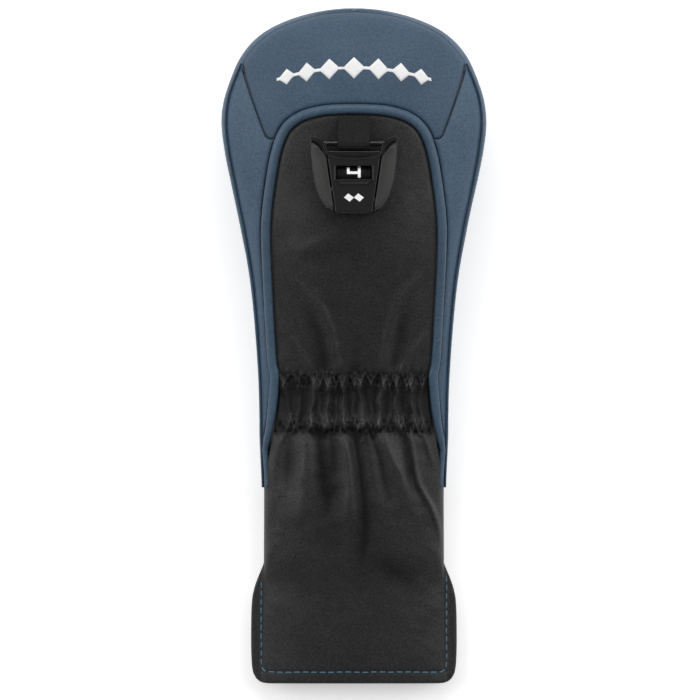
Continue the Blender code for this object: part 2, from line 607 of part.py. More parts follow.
for side, sign in (("right", 1), ("left", -1)):
    screw = rod("cover_screw_" + side, "z", (sign * 5.5, 69.2), 1.95, TAG_BACK_Z + 0.15, TAG_SPLIT_Z - 0.25, sides=20, node=True, ends=0.7)
    cut(screw, "UNION", rod("cutter_shank_" + side, "z", (sign * 5.5, 69.2), 0.65, TAG_BACK_Z + 0.4, 54.6, sides=12))
    cut(screw, "DIFFERENCE", box("cutter_drive_a_" + side, sign * 5.5 - 1.0, sign * 5.5 + 1.0, 69.0, 69.4, 40, TAG_BACK_Z + 0.6))
    cut(screw, "DIFFERENCE", box("cutter_drive_b_" + side, sign * 5.5 - 0.2, sign * 5.5 + 0.2, 68.2, 70.2, 40, TAG_BACK_Z + 0.6))
    paint(screw, (0.4, 0.4, 0.4), 0.35, 1.0, smooth=False)

# Turning pieces carry their origin on the axis
for name, (y, z) in (("webbing_strap", (STRAP_TOP_Y, STRAP_TOP_Z)), ("tag_front_shell", (BAR_Y, BAR_Z)), ("number_drum", (DRUM_Y, DRUM_Z))):
    obj = bpy.data.objects[name]
    at = Vector((0, y * MM, z * MM))
    for point in obj.data.vertices:
        point.co -= at
    obj.location = at
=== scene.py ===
"""Looks of the golf head cover: soft shell, webbing and number tag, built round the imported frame."""
import math

import bmesh
import bpy
import numpy as np
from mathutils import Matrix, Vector


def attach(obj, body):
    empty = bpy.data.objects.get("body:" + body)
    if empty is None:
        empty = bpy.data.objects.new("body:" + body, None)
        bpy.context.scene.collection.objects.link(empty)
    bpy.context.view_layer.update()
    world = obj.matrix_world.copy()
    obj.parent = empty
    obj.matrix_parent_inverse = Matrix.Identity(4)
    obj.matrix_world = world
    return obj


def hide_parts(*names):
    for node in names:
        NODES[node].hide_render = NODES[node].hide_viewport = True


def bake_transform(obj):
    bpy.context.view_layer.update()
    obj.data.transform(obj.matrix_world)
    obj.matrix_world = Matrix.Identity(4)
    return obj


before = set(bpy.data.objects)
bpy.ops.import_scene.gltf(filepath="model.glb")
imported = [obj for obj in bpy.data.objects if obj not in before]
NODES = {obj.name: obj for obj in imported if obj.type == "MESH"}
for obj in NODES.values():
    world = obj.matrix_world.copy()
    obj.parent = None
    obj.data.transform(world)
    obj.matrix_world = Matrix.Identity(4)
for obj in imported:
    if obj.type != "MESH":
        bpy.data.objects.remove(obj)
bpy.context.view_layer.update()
MM = 0.001
rng = np.random.default_rng(7)


# ------------------------------------------------------------------ camera
def put(obj):
    bpy.context.scene.collection.objects.link(obj)
    return obj


VIEW_X, VIEW_Y, VIEW_W, EYE = -1.85, -1.9, 331.4, 9000.0
cam = put(bpy.data.objects.new("camera", bpy.data.cameras.new("camera")))
cam.data.sensor_width = 36
cam.data.lens = 36 * (EYE - 22) / VIEW_W
cam.data.clip_end = 20
cam.location = (VIEW_X * MM, VIEW_Y * MM, EYE * MM)
bpy.context.scene.camera = cam
bpy.context.scene.view_settings.view_transform = "Standard"

# ---------------------------------------------------- shape of the cover, mm
CAP_Y, TIP_Y, CAP_POWER = 105.0, 160.0, 2.5
BACK_END, WAIST_TOP, WAIST_LOW = -67.0, -14.0, -40.6


def curve(table):
    """Smooth, vectorised interpolation of (position, value) stations."""
    px, py = np.array(table, float).T
    d = np.diff(py) / np.diff(px)
    m = np.zeros(len(px))
    for k in range(1, len(px) - 1):
        m[k] = 0 if d[k - 1] * d[k] <= 0 else 2 * d[k - 1] * d[k] / (d[k - 1] + d[k])

    def f(x):
        x = np.clip(np.asarray(x, float), px[0], px[-1])
        i = np.clip(np.searchsorted(px, x, side="right") - 1, 0, len(px) - 2)
        h = px[i + 1] - px[i]
        t = (x - px[i]) / h
        return ((2 * t**3 - 3 * t**2 + 1) * py[i] + (t**3 - 2 * t**2 + t) * h * m[i]
                + (-2 * t**3 + 3 * t**2) * py[i + 1] + (t**3 - t**2) * h * m[i + 1])

    return f


half_width = curve([(-160, 40.6), (-156, 42.2), (-150, 42.7), (-100, 42.7), (-71, 42.6), (-48, 43.4), (-14, 45.1), (8.5, 46.7), (31, 49.1), (54, 53.4), (77, 58.3), (94, 61.6), (105, 62.8)])
crest_z = curve([(-160, 15.0), (-145, 16.5), (-120, 19.0), (-100, 23.5), (-75, 28.0), (-50, 29.4), (-27, 29.6), (0, 35.0), (25, 41.5), (45, 45.8), (62, 47.7), (80, 48.0), (105, 48.0)])
edge_z = curve([(-160, 8.5), (-103, 8.5), (-60, 12.0), (-27, 14.0), (0, 15.5), (31, 17.5), (60, 19.3), (105, 20.0)])
seam_rise = curve([(-160, 0.0), (-95, 0.0), (-60, 1.5), (-27, 3.0), (0, 4.5), (31, 6.5), (60, 8.0), (105, 8.0)])
cap_trim = curve([(0, 1.0), (0.209, 0.992), (0.309, 0.984), (0.415, 0.979), (0.518, 0.984), (0.622, 0.996), (0.725, 1.012), (0.82, 1.024), (0.896, 1.02), (0.95, 1.01), (1.0, 1.0)])
flange_w = curve([(-160.0, 40.5), (-159.6, 43.2), (-158.6, 45.2), (-157.4, 46.4), (-154.3, 47.9), (-150, 48.5), (-140, 48.8), (-128, 48.7), (-120.2, 48.3), (-114.6, 47.2), (-108.9, 45.2), (-105.6, 43.8), (-102.2, 42.7), (-100, 42.7)])


def smooth(t):
    t = np.clip(t, 0, 1)
    return t * t * (3 - 2 * t)


def dims(y):
    """Half width, edge height and rise of the front at y."""
    y = np.asarray(y, float)
    s = np.clip((y - CAP_Y) / (TIP_Y - CAP_Y), 0, 1)
    r = np.sqrt(np.clip(1 - s**CAP_POWER, 0, 1))
    return half_width(y) * r * cap_trim(s), edge_z(y), (crest_z(y) - edge_z(y)) * r


STITCH_X, STITCH_Y, FLANGE = 43.9, -154.6, 1.15


def base_z(x, y):
    """Smooth front surface without folds."""
    a, e, h = dims(y)
    a = np.maximum(a, 1e-3)
    t = np.clip(np.abs(x) / a, 0, 1)
    tube = e + h * np.sqrt(np.clip(1 - t * t, 0, 1))
    k = smooth((-97.0 - y) / 17.0)
    u = np.clip(np.abs(x) / STITCH_X, 0, 1)
    lens = e + FLANGE + (h - FLANGE) * np.clip(1 - u**2.15, 0, 1) ** 0.88
    w = np.maximum(flange_w(y), 1.0)
    rim = np.clip((np.abs(x) - (w - 1.1)) / 1.1, 0, 1)
    lens = lens - FLANGE * (1 - np.sqrt(np.clip(1 - rim**2, 0, 1))) * (np.abs(x) > STITCH_X - 4)
    return tube * (1 - k) + lens * k


# ------------------------------------------------------------- plan outlines
INSERT_EDGE = [(0, 109.5), (10.6, 109.2), (16.8, 108.4), (23.9, 106.3), (29.3, 102.5), (32.6, 97.0), (35.3, 87.6), (37.5, 74.0), (38.9, 62.0), (39.3, 49.7), (38.1, 22.7), (36.5, -5.7), (35.2, -14.2), (36.0, -26.0), (37.5, -38.0), (39.7, -49.2), (41.6, -60.2), (42.35, -67.2)]


def path_smooth(points, per=10):
    p = np.array(points, float)
    out = []
    for i in range(len(p) - 1):
        a, b, c, d = p[max(i - 1, 0)], p[i], p[i + 1], p[min(i + 2, len(p) - 1)]
        for k in range(per):
            t = k / per
            out.append(0.5 * (2 * b + (c - a) * t + (2 * a - 5 * b + 4 * c - d) * t * t + (3 * b - a - 3 * c + d) * t**3))
    out.append(p[-1])
    return np.array(out)


def resample(path, n):
    path = np.asarray(path, float)
    s = np.concatenate([[0], np.cumsum(np.linalg.norm(np.diff(path, axis=0), axis=1))])
    t = np.linspace(0, s[-1], n)
    return np.stack([np.interp(t, s, path[:, k]) for k in range(path.shape[1])], 1)


def shift(path, d):
    g = np.gradient(path, axis=0)
    g /= np.linalg.norm(g, axis=1)[:, None]
    return path + d * np.stack([-g[:, 1], g[:, 0]], 1)


right_edge = path_smooth([(-10.6, 109.2)] + INSERT_EDGE, 10)[10:]
ARCH = np.vstack([right_edge[::-1] * [-1, 1], right_edge[1:]])  # left foot, over the arch, right foot


def distance(x, y, path):
    """Distance in plan from each point to a polyline."""
    p = np.stack([np.ravel(x), np.ravel(y)], 1)
    best = np.full(len(p), 1e9)
    for a, b in zip(path[:-1], path[1:]):
        d = b - a
        size = max(float(d @ d), 1e-9)
        t = np.clip(((p - a) @ d) / size, 0, 1)
        q = p - a - t[:, None] * d
        best = np.minimum(best, np.einsum("ij,ij->i", q, q))
    return np.sqrt(best).reshape(np.shape(x))


def waves(x, y, scale, seed, count=14):
    """Gentle seeded unevenness, about -1 to 1, with features about `scale` mm across."""
    r = np.random.default_rng(seed)
    out = 0
    for _ in range(count):
        angle, phase = r.uniform(0, 2 * math.pi), r.uniform(0, 2 * math.pi)
        k = 2 * math.pi / scale * r.uniform(0.45, 1.3)
        out = out + np.sin(k * (x * math.cos(angle) + y * math.sin(angle)) + phase)
    return out / math.sqrt(count * 2)


# Folds of the black cloth: (points, height, width)
FOLDS = [
    ([(-31.0, 33.5), (-21.7, 25.1), (-15.1, 17.0), (-10.8, 5.2), (-7.5, -12.5)], 1.25, 2.3),
    ([(-26.5, 22.0), (-20.5, 13.0), (-16.0, 3.0), (-13.5, -12.0)], -0.9, 2.9),
    ([(-29.9, 6.3), (-24.1, -4.3), (-20.3, -13.5)], 1.0, 1.9),
    ([(34.2, 36.0), (26.1, 27.9), (20.4, 19.9), (16.1, 5.2), (13.8, -12.5)], 1.2, 2.4),
    ([(27.0, 20.0), (22.5, 8.0), (18.5, -11.0)], -0.8, 2.9),
    ([(37.0, 9.1), (28.9, -0.9), (22.3, -13.0)], 0.95, 2.0),
    ([(-30.0, 43.0), (-16.0, 48.8), (-3.6, 55.0)], 0.5, 3.2),
    ([(-26.0, 38.5), (-8.0, 43.0), (8.0, 47.0)], -0.4, 4.5),
    ([(3.0, 12.0), (1.5, 0.0), (0.5, -12.5)], -0.6, 2.6),
    ([(-34.0, -40.0), (-36.4, -48.3), (-37.4, -54.0), (-37.4, -68.7)], 0.9, 1.8),
    ([(-22.0, -41.0), (-22.7, -55.0), (-24.5, -66.0), (-25.4, -78.0), (-24.5, -93.0)], 1.7, 4.2),
    ([(-17.0, -39.5), (-15.5, -52.0), (-13.5, -64.0), (-11.5, -76.0), (-10.8, -90.0)], -2.1, 5.2),
    ([(-6.2, -40.1), (-3.4, -48.6), (-1.9, -59.6), (-1.4, -70.9), (-3.2, -84.0)], 1.6, 2.5),
    ([(-1.0, -39.5), (2.0, -52.0), (3.6, -66.0), (5.0, -80.0), (4.5, -95.0), (2.5, -112.0)], -2.1, 3.9),
    ([(12.4, -40.1), (16.8, -51.0), (21.6, -59.5), (24.6, -69.0), (27.0, -82.0)], 1.5, 3.2),
    ([(8.6, -39.8), (11.6, -51.0), (14.2, -64.0), (16.0, -78.0)], -1.3, 2.7),
    ([(26.6, -39.6), (28.4, -51.6), (30.2, -63.4), (33.4, -70.0), (36.6, -76.0), (39.6, -84.0), (42.2, -95.0)], 2.0, 1.45),
    ([(22.8, -41.0), (25.0, -50.0), (27.4, -61.0), (31.0, -75.0)], -1.3, 2.2),
    ([(31.9, -38.8), (34.9, -46.9), (37.9, -58.3)], 1.1, 1.4),
    ([(-29.5, -41.0), (-30.0, -54.0), (-30.5, -74.0)], -0.9, 2.6),
    ([(-9.5, -40.7), (-8.6, -50.2), (-8.0, -66.4)], -1.0, 2.2),
    ([(-36.0, -90.0), (-40.2, -98.0), (-43.6, -107.0)], 0.6, 2.6),
    ([(36.0, -92.0), (40.0, -99.0), (43.6, -108.0)], 0.5, 2.6),
    ([(-43.0, -116.0), (-38.0, -121.0), (-30.0, -125.0)], 0.28, 4.0),
    ([(43.0, -118.0), (37.0, -126.0), (30.0, -131.0)], 0.4, 3.6),
    ([(8.0, -98.0), (18.0, -108.0), (32.0, -112.0)], -0.8, 5.5),
]

# Ridges of the gathered waist between its two rows: (top x, middle x, low x, height)
GATHERS = [
    (-33.6, -31.6, -29.9, 0.9), (-26.4, -25.6, -27.2, 0.5), (-19.0, -19.5, -20.2, 1.5), (-16.2, -16.0, -15.4, 0.45), (-12.6, -12.3, -12.6, 1.5),
    (-8.6, -8.2, -8.6, 0.45), (-5.6, -4.7, -4.8, 1.6), (0.2, 0.2, 0.6, 0.5), (3.0, 3.6, 3.4, 1.6), (8.0, 8.0, 7.4, 0.5),
    (14.2, 12.8, 10.8, 1.6), (16.8, 16.8, 16.0, 0.45), (19.8, 20.4, 21.2, 1.4), (24.6, 24.2, 23.6, 0.5), (26.8, 27.8, 28.8, 1.2), (32.4, 31.6, 32.8, 0.9),
]
pucker = np.random.default_rng(23)
PITS = [(x + pucker.uniform(-0.9, 0.9), y + pucker.uniform(-1.0, 1.0), pucker.uniform(0.25, 0.75)) for y, shift_x in ((-14.4, 0.0), (-17.6, 1.6), (-36.4, 0.9), (-39.9, 2.4)) for x in np.arange(-35.2 + shift_x, 35.5, 3.25)]
CROSSES = []
for top, middle, low, high in GATHERS:
    for lean in (-1, 1):
        CROSSES.append(((top + lean * pucker.uniform(1.5, 2.6), -13.5 + pucker.uniform(-1.2, 2.2)), (top - lean * 0.5, -20.5 + pucker.uniform(-2.2, 1.6)), 0.80, 0.50))
        CROSSES.append(((low - lean * 0.5, -33.6 + pucker.uniform(-1.5, 1.5)), (low + lean * pucker.uniform(1.4, 2.6), -42.0 + pucker.uniform(-2.6, 1.2)), 0.85, 0.55))


def folds(x, y):
    """Height of the folds in the black cloth, mm."""
    out = np.zeros(np.shape(x))
    for points, high, wide in FOLDS:
        p = np.array(points, float)
        near = (np.abs(y - p[:, 1].mean()) < np.ptp(p[:, 1]) / 2 + 4 * wide)
        if not near.any():
            continue
        xs, ys = x[near], y[near]
        path = resample(path_smooth(p, 6), 26)
        d = distance(xs, ys, path)
        along = np.linalg.norm(np.diff(path, axis=0), axis=1).sum()
        ends = np.minimum(np.hypot(xs - path[0, 0], ys - path[0, 1]), np.hypot(xs - path[-1, 0], ys - path[-1, 1]))
        fade = smooth(0.18 + ends / (0.42 * along))
        if WAIST_LOW - 3 < path[0, 1] < WAIST_LOW + 4:  # rises straight out of the gathers
            fade = smooth(0.30 + (path[0, 1] - ys) / 8) * smooth(0.1 + np.hypot(xs - path[-1, 0], ys - path[-1, 1]) / (0.5 * along))
        if WAIST_TOP - 4 < path[-1, 1] < WAIST_TOP + 6:  # runs down into the gathers
            fade = smooth(0.10 + np.hypot(xs - path[0, 0], ys - path[0, 1]) / (0.55 * along)) * smooth(0.55 + (ys - path[-1, 1]) / 6)
        out[near] += high * fade * np.exp(-((d / wide) ** 2))
    # gathers
    t = (WAIST_TOP - y) / (WAIST_TOP - WAIST_LOW)
    ragged = 0.10 * waves(x, 0.3 * y, 4.6, 61)
    inside = smooth((t + ragged + 0.16) / 0.20) * smooth((1.17 - t + ragged) / 0.22)
    if (inside > 0).any():
        g = np.zeros(np.shape(x))
        u = np.clip(t, 0, 1)
        ends_top, ends_low = np.exp(-(((t - 0.17) / 0.11) ** 2)), np.exp(-(((t - 0.84) / 0.12) ** 2))
        for top, middle, low, high in GATHERS:
            line = (1 - u) ** 2 * top + 2 * u * (1 - u) * (2 * middle - 0.5 * top - 0.5 * low) + u * u * low
            line = line + 0.55 * np.sin(t * 7 + top) + 0.20 * np.sin(t * 17 + 2 * top)
            wide = (1.10 + 0.25 * np.sin(t * 8 + 3 * top) + 0.65 * ends_top + 1.20 * ends_low) * (1.0 if high > 0.7 else 0.85)
            rise = high * (0.85 + 0.55 * ends_top + 0.65 * ends_low) * smooth((t + 0.05) / 0.12) * smooth((1.04 - t) / 0.12)
            g += rise * np.exp(-np.abs((x - line) / wide) ** 1.8)
        g -= 0.55
        for (xa, ya), (xb, yb), high, wide in CROSSES:
            dx, dy = xb - xa, yb - ya
            k = np.clip(((x - xa) * dx + (y - ya) * dy) / (dx * dx + dy * dy), 0, 1)
            d = (x - xa - k * dx) ** 2 + (y - ya - k * dy) ** 2
            g += high * np.exp(-d / wide**2) * (0.55 + 0.45 * np.sin(np.pi * k))
        out += inside * g
        for px, py, deep in PITS:
            out -= deep * np.exp(-(((x - px) / 0.62) ** 2) - ((y - py) / 0.95) ** 2)
        for centre, spread, seed in ((WAIST_TOP - 2.0, 2.8, 3), (WAIST_LOW + 2.8, 3.6, 5)):
            band = np.exp(-(((y - centre) / spread) ** 4))
            out += band * (0.09 * waves(x, y, 2.3, seed) + 0.12 * np.sin(2 * math.pi * (x + 0.5 * waves(x, y, 6.0, seed + 7)) / 1.62))
        for row, sign in ((WAIST_TOP, 1), (WAIST_LOW, -1)):  # small ripples that run out of each row
            run_out = sign * (y - row)
            fan = smooth((run_out + 1.5) / 1.5) * np.exp(-np.clip(run_out, 0, None) / 2.6)
            out += fan * (0.26 * np.sin(2 * math.pi * (x + 0.8 * waves(x, y, 8.0, 15)) / 3.25) + 0.15 * waves(x, y, 2.6, 17))
    out += 0.30 * waves(x, y, 9.0, 27) * smooth((WAIST_TOP + 18 - y) / 12) * smooth((y + 96) / 12) * 0.5
    out += 0.16 * waves(x, y, 26.0, 21) + 0.05 * waves(x, y, 7.0, 22)
    return out


def keep(x, y):
    """Folds die out towards the sides of the cloth, where it is sewn down."""
    a = np.maximum(dims(y)[0], 1.0)
    return smooth((1.0 - np.abs(x) / a) / 0.05 + 0.25)


def painted_shade_and_highlight(x, y):
    """How deep in a fold each point lies, 0 to 1, used as painted shade that darkens the cloth there; below 0 on the
    crests it is a painted highlight.
    """
    t = (WAIST_TOP - y) / (WAIST_TOP - WAIST_LOW)
    band = smooth((t + 0.10) / 0.16) * smooth((1.12 - t) / 0.16)
    level = 1.15 * band + 0.05 * (1 - band)
    high = folds(x, y)
    # painted shade in the fold valleys, and a painted highlight (negative value) on the crests
    deep = 0.92 * np.tanh(np.clip((level - high) / (1.6 * band + 2.0 * (1 - band)), 0, 2))
    painted_highlight = np.clip((high - level - 0.15) / (1.5 * band + 2.0 * (1 - band)), 0, 1)
    return (deep - (0.30 + 1.00 * band) * painted_highlight) * keep(x, y)


def shade(obj, values):
    """Keeps a value for each vertex, read by the cloth's material as painted shade where it is high and as a painted
    highlight where it is below 0.
    """
    data = obj.data.attributes.new("painted_shade_and_highlight", "FLOAT", "POINT")
    data.data.foreach_set("value", np.ravel(values).astype(np.float32))
    return obj


# -------------------------------------------------------------- mesh helpers
def grid(name, points, body="cover", closed=False, up=True, thick=None, weld=False, offset=-1.0):
    """Quad sheet from an (n, m, 3) array in mm, optionally given a thickness inwards."""
    n, m = points.shape[:2]
    index = np.arange(n * m).reshape(n, m)
    if closed:
        index = np.concatenate([index, index[:, :1]], 1)
    quads = np.stack([index[:-1, :-1], index[:-1, 1:], index[1:, 1:], index[1:, :-1]], -1).reshape(-1, 4)
    if not up:
        quads = quads[:, ::-1]
    mesh = bpy.data.meshes.new(name)
    mesh.from_pydata((points.reshape(-1, 3) * MM).tolist(), [], quads.tolist())
    mesh.polygons.foreach_set("use_smooth", np.ones(len(mesh.polygons), bool))
    obj = put(bpy.data.objects.new(name, mesh))
    if weld:
        work = bmesh.new()
        work.from_mesh(mesh)
        bmesh.ops.remove_doubles(work, verts=work.verts, dist=2e-6)
        bmesh.ops.dissolve_degenerate(work, edges=work.edges, dist=1e-7)
        work.to_mesh(mesh)
        work.free()
    if thick:
        solid = obj.modifiers.new("thickness", "SOLIDIFY")
        solid.thickness = thick * MM
        solid.offset = offset
    return obj


def finish_piece(obj, body, mat, *nodes):
    if isinstance(mat, (list, tuple)):
        for one in mat:
            obj.data.materials.append(one)
    else:
        obj.data.materials.append(mat)
    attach(obj, body)
    if nodes:
        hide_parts(*nodes)
    return obj


def coons(bottom, top, left, right, n, m, bias_u=None, bias_v=None):
    """Plan grid between four curves: bottom and top run left to right, left and right run bottom to top."""
    b, t, l, r = resample(bottom, 400), resample(top, 400), resample(left, 400), resample(right, 400)
    u = np.linspace(0, 1, m) if bias_u is None else bias_u(np.linspace(0, 1, m))
    v = np.linspace(0, 1, n) if bias_v is None else bias_v(np.linspace(0, 1, n))
    s = np.linspace(0, 1, 400)

    def pick(c, q):
        return np.stack([np.interp(q, s, c[:, 0]), np.interp(q, s, c[:, 1])], -1)

    bu, tu, lv, rv = pick(b, u)[None], pick(t, u)[None], pick(l, v)[:, None], pick(r, v)[:, None]
    U, V = u[None, :, None], v[:, None, None]
    return ((1 - V) * bu + V * tu + (1 - U) * lv + U * rv
            - ((1 - U) * (1 - V) * b[0] + U * (1 - V) * b[-1] + (1 - U) * V * t[0] + U * V * t[-1]))


def ends_dense(t):
    """More rows near both ends."""
    return 0.5 - 0.5 * np.cos(np.pi * t) * (0.75 + 0.25 * np.abs(np.cos(np.pi * t)))


def swell(x, y):
    """Slight unevenness shared by the blue panels, so that they meet along their seams."""
    return 0.20 * waves(x, y, 30.0, 31) + 0.05 * waves(x, y, 9.0, 32)


def seam_dip(x, y, paths, deep=0.85, wide=0.95):
    out = np.zeros(np.shape(x))
    for path in paths:
        d = distance(x, y, path)
        out = np.maximum(out, deep * np.exp(-((d / wide) ** 1.5)))
    return out


def seam_painted_shade(x, y, paths, wide=0.55, share=0.95):
    """Painted shade for a seam's groove: 1 in the groove, falling to 0 beside it."""
    near = np.full(np.shape(x), 99.0)
    for path in paths:
        near = np.minimum(near, distance(x, y, path))
    return share * np.exp(-((near / wide) ** 2))


def solid(name, outline, low, high, bevel=0.25, segments=3):
    """Bevelled block from a plan outline."""
    n = len(outline)
    work = bmesh.new()
    a = [work.verts.new((x * MM, y * MM, low * MM)) for x, y in outline]
    b = [work.verts.new((x * MM, y * MM, high * MM)) for x, y in outline]
    work.faces.new(a)
    work.faces.new(b)
    for k in range(n):
        work.faces.new([a[k], a[(k + 1) % n], b[(k + 1) % n], b[k]])
    bmesh.ops.recalc_face_normals(work, faces=work.faces)
    mesh = bpy.data.meshes.new(name)
    work.to_mesh(mesh)
    work.free()
    obj = put(bpy.data.objects.new(name, mesh))
    mesh.polygons.foreach_set("use_smooth", np.ones(len(mesh.polygons), bool))
    if bevel:
        mod = obj.modifiers.new("bevel", "BEVEL")
        mod.width = bevel * MM
        mod.segments = segments
        mod.limit_method = "ANGLE"
        mod.angle_limit = math.radians(28)
        mod.harden_normals = True
    return obj


# ----------------------------------------------------------------- materials
class Nodes:
    """Short way to wire a material."""

    def __init__(self, name, colour, rough, metallic=0.0, specular=0.5):
        self.mat = bpy.data.materials.new(name)
        self.mat.use_nodes = True
        self.tree = self.mat.node_tree
        self.shader = self.tree.nodes["Principled BSDF"]
        self.shader.inputs["Base Color"].default_value = (*colour, 1)
        self.shader.inputs["Roughness"].default_value = rough
        self.shader.inputs["Metallic"].default_value = metallic
        self.shader.inputs["Specular IOR Level"].default_value = specular
        self.colour = colour
        self.height = None
        coords = self.add("ShaderNodeTexCoord")
        scale = self.add("ShaderNodeVectorMath", operation="SCALE")
        scale.inputs["Scale"].default_value = 1000
        self.link(coords.outputs["Object"], scale.inputs[0])
        self.mm = scale.outputs[0]

    def add(self, kind, **settings):
        node = self.tree.nodes.new(kind)
        for key, value in settings.items():
            setattr(node, key, value)
        return node

    def link(self, a, b):
        self.tree.links.new(a, b)

    def math(self, op, a, b=None, c=None):
        node = self.add("ShaderNodeMath", operation=op)
        for socket, value in zip(node.inputs, (a, b, c)):
            if value is None:
                continue
            if isinstance(value, (int, float)):
                socket.default_value = value
            else:
                self.link(value, socket)
        return node.outputs[0]

    def noise(self, scale, detail=3, rough=0.5, vector=None):
        node = self.add("ShaderNodeTexNoise")
        node.inputs["Scale"].default_value = scale
        node.inputs["Detail"].default_value = detail
        node.inputs["Roughness"].default_value = rough
        self.link(vector or self.mm, node.inputs["Vector"])
        return node.outputs["Fac"]

    def cells(self, scale, feature="F1", vector=None):
        node = self.add("ShaderNodeTexVoronoi", feature=feature)
        node.inputs["Scale"].default_value = scale
        self.link(vector or self.mm, node.inputs["Vector"])
        return node.outputs["Distance"]

    def dot(self, v, vector=None):
        node = self.add("ShaderNodeVectorMath", operation="DOT_PRODUCT")
        node.inputs[1].default_value = v
        self.link(vector or self.mm, node.inputs[0])
        return node.outputs["Value"]

    def wave(self, v, period, wobble=None):
        """Sine of the place along v, 0 to 1."""
        place = self.math("MULTIPLY", self.dot(v), 2 * math.pi / period)
        if wobble is not None:
            place = self.math("ADD", place, wobble)
        return self.math("MULTIPLY_ADD", self.math("SINE", place), 0.5, 0.5)

    def gain(self, value, by):
        """More contrast about a half."""
        return self.math("MULTIPLY_ADD", self.math("SUBTRACT", value, 0.5), by, 0.5)

    def bump(self, height, strength, distance_mm):
        node = self.add("ShaderNodeBump")
        node.inputs["Strength"].default_value = strength
        node.inputs["Distance"].default_value = distance_mm * MM
        self.link(height, node.inputs["Height"])
        if self.height is not None:
            self.link(self.height, node.inputs["Normal"])
        self.height = node.outputs["Normal"]
        self.link(self.height, self.shader.inputs["Normal"])

    def tint(self, fac, dark, light):
        """Base colour between the colour times dark and the colour times light."""
        ramp = self.add("ShaderNodeValToRGB")
        ramp.color_ramp.elements[0].color = (*[min(1, c * dark) for c in self.colour], 1)
        ramp.color_ramp.elements[1].color = (*[min(1, c * light) for c in self.colour], 1)
        self.link(fac, ramp.inputs["Fac"])
        self.link(ramp.outputs["Color"], self.shader.inputs["Base Color"])

    def paint_shade(self, name, share):
        """Paints shade into the colour where the mesh's own value is high, and a painted highlight where it is below 0.
        """
        deep = self.add("ShaderNodeAttribute", attribute_name=name)
        darker = self.add("ShaderNodeVectorMath", operation="SCALE")
        self.link(self.shader.inputs["Base Color"].links[0].from_socket, darker.inputs[0])
        self.link(self.math("MULTIPLY_ADD", deep.outputs["Fac"], -share, 1.0), darker.inputs["Scale"])
        self.link(darker.outputs[0], self.shader.inputs["Base Color"])

    def roughness(self, fac, low, high):
        node = self.add("ShaderNodeMapRange")
        node.inputs["To Min"].default_value = low
        node.inputs["To Max"].default_value = high
        self.link(fac, node.inputs["Value"])
        self.link(node.outputs[0], self.shader.inputs["Roughness"])


def coated(name, colour, rough=0.5, grain=1.0, specular=0.45):
    """Coated fabric with a fine diagonal emboss."""
    n = Nodes(name, colour, rough, specular=specular)
    wobble = n.math("MULTIPLY", n.noise(0.25, 2), 3.0)
    rib = n.wave((0.7071, -0.7071, 0.15), 0.72, wobble)
    fine = n.gain(n.noise(0.95, 4, 0.7), 4.2)
    broad = n.noise(0.045, 3)
    tone = n.math("ADD", n.math("MULTIPLY", rib, 0.26), n.math("ADD", n.math("MULTIPLY", fine, 0.34), n.math("MULTIPLY", broad, 0.40)))
    n.tint(tone, 0.50, 1.50)
    # painted shade: the colour is darkened along the seam grooves carried in the mesh's value
    n.paint_shade("painted_shade_and_highlight", 0.72)
    n.bump(n.math("ADD", rib, fine), 0.22 * grain, 0.06)
    n.roughness(n.noise(0.6, 4), rough - 0.06, rough + 0.07)
    return n.mat


def twill(name, colour, rough=0.55, strength=0.5, contrast=0.3, sheen=0.05, spec_high=0.40):
    """Satin twill: fine diagonal ribs, with a low sheen."""
    n = Nodes(name, colour, rough, specular=0.5)
    wobble = n.math("MULTIPLY", n.noise(0.30, 2), 3.4)
    rib = n.wave((0.7071, -0.7071, 0.10), 0.74, wobble)
    cross = n.wave((0.7071, 0.7071, 0.0), 0.40, wobble)
    thread = n.gain(n.noise(1.1, 4, 0.7), 3.0)
    mottled = n.noise(0.13, 4, 0.6)
    weave = n.math("MULTIPLY_ADD", rib, 0.75, n.math("MULTIPLY", cross, 0.25))
    patchy = n.math("MULTIPLY_ADD", n.noise(0.10, 2), 3.2, -0.5)
    weave = n.math("MULTIPLY_ADD", n.math("SUBTRACT", weave, 0.5), patchy, 0.5)
    tone = n.math("ADD", n.math("MULTIPLY", weave, 0.46), n.math("ADD", n.math("MULTIPLY", thread, 0.34), n.math("MULTIPLY", mottled, 0.20)))
    n.tint(tone, 1 - contrast * 2, 1 + contrast * 2)
    spec = n.add("ShaderNodeMapRange")
    spec.inputs["From Min"].default_value = 0.25
    spec.inputs["From Max"].default_value = 0.75
    spec.inputs["To Min"].default_value = spec_high * 0.16
    spec.inputs["To Max"].default_value = spec_high
    n.link(tone, spec.inputs["Value"])
    # painted shade and highlight from the mesh's value: specular is lowered and the colour darkened in folds, seams and
    # rib gaps, and both are raised on crests
    deep = n.add("ShaderNodeAttribute", attribute_name="painted_shade_and_highlight")
    n.link(n.math("MULTIPLY", spec.outputs[0], n.math("MULTIPLY_ADD", deep.outputs["Fac"], -0.75, 1.0)), n.shader.inputs["Specular IOR Level"])
    n.paint_shade("painted_shade_and_highlight", 0.85)
    n.bump(weave, strength, 0.05)
    n.bump(thread, 0.2, 0.03)
    n.roughness(thread, rough - 0.06, rough + 0.10)
    n.shader.inputs["Sheen Weight"].default_value = sheen
    n.shader.inputs["Sheen Roughness"].default_value = 0.4
    n.shader.inputs["Sheen Tint"].default_value = (0.9, 0.92, 1.0, 1)
    return n.mat


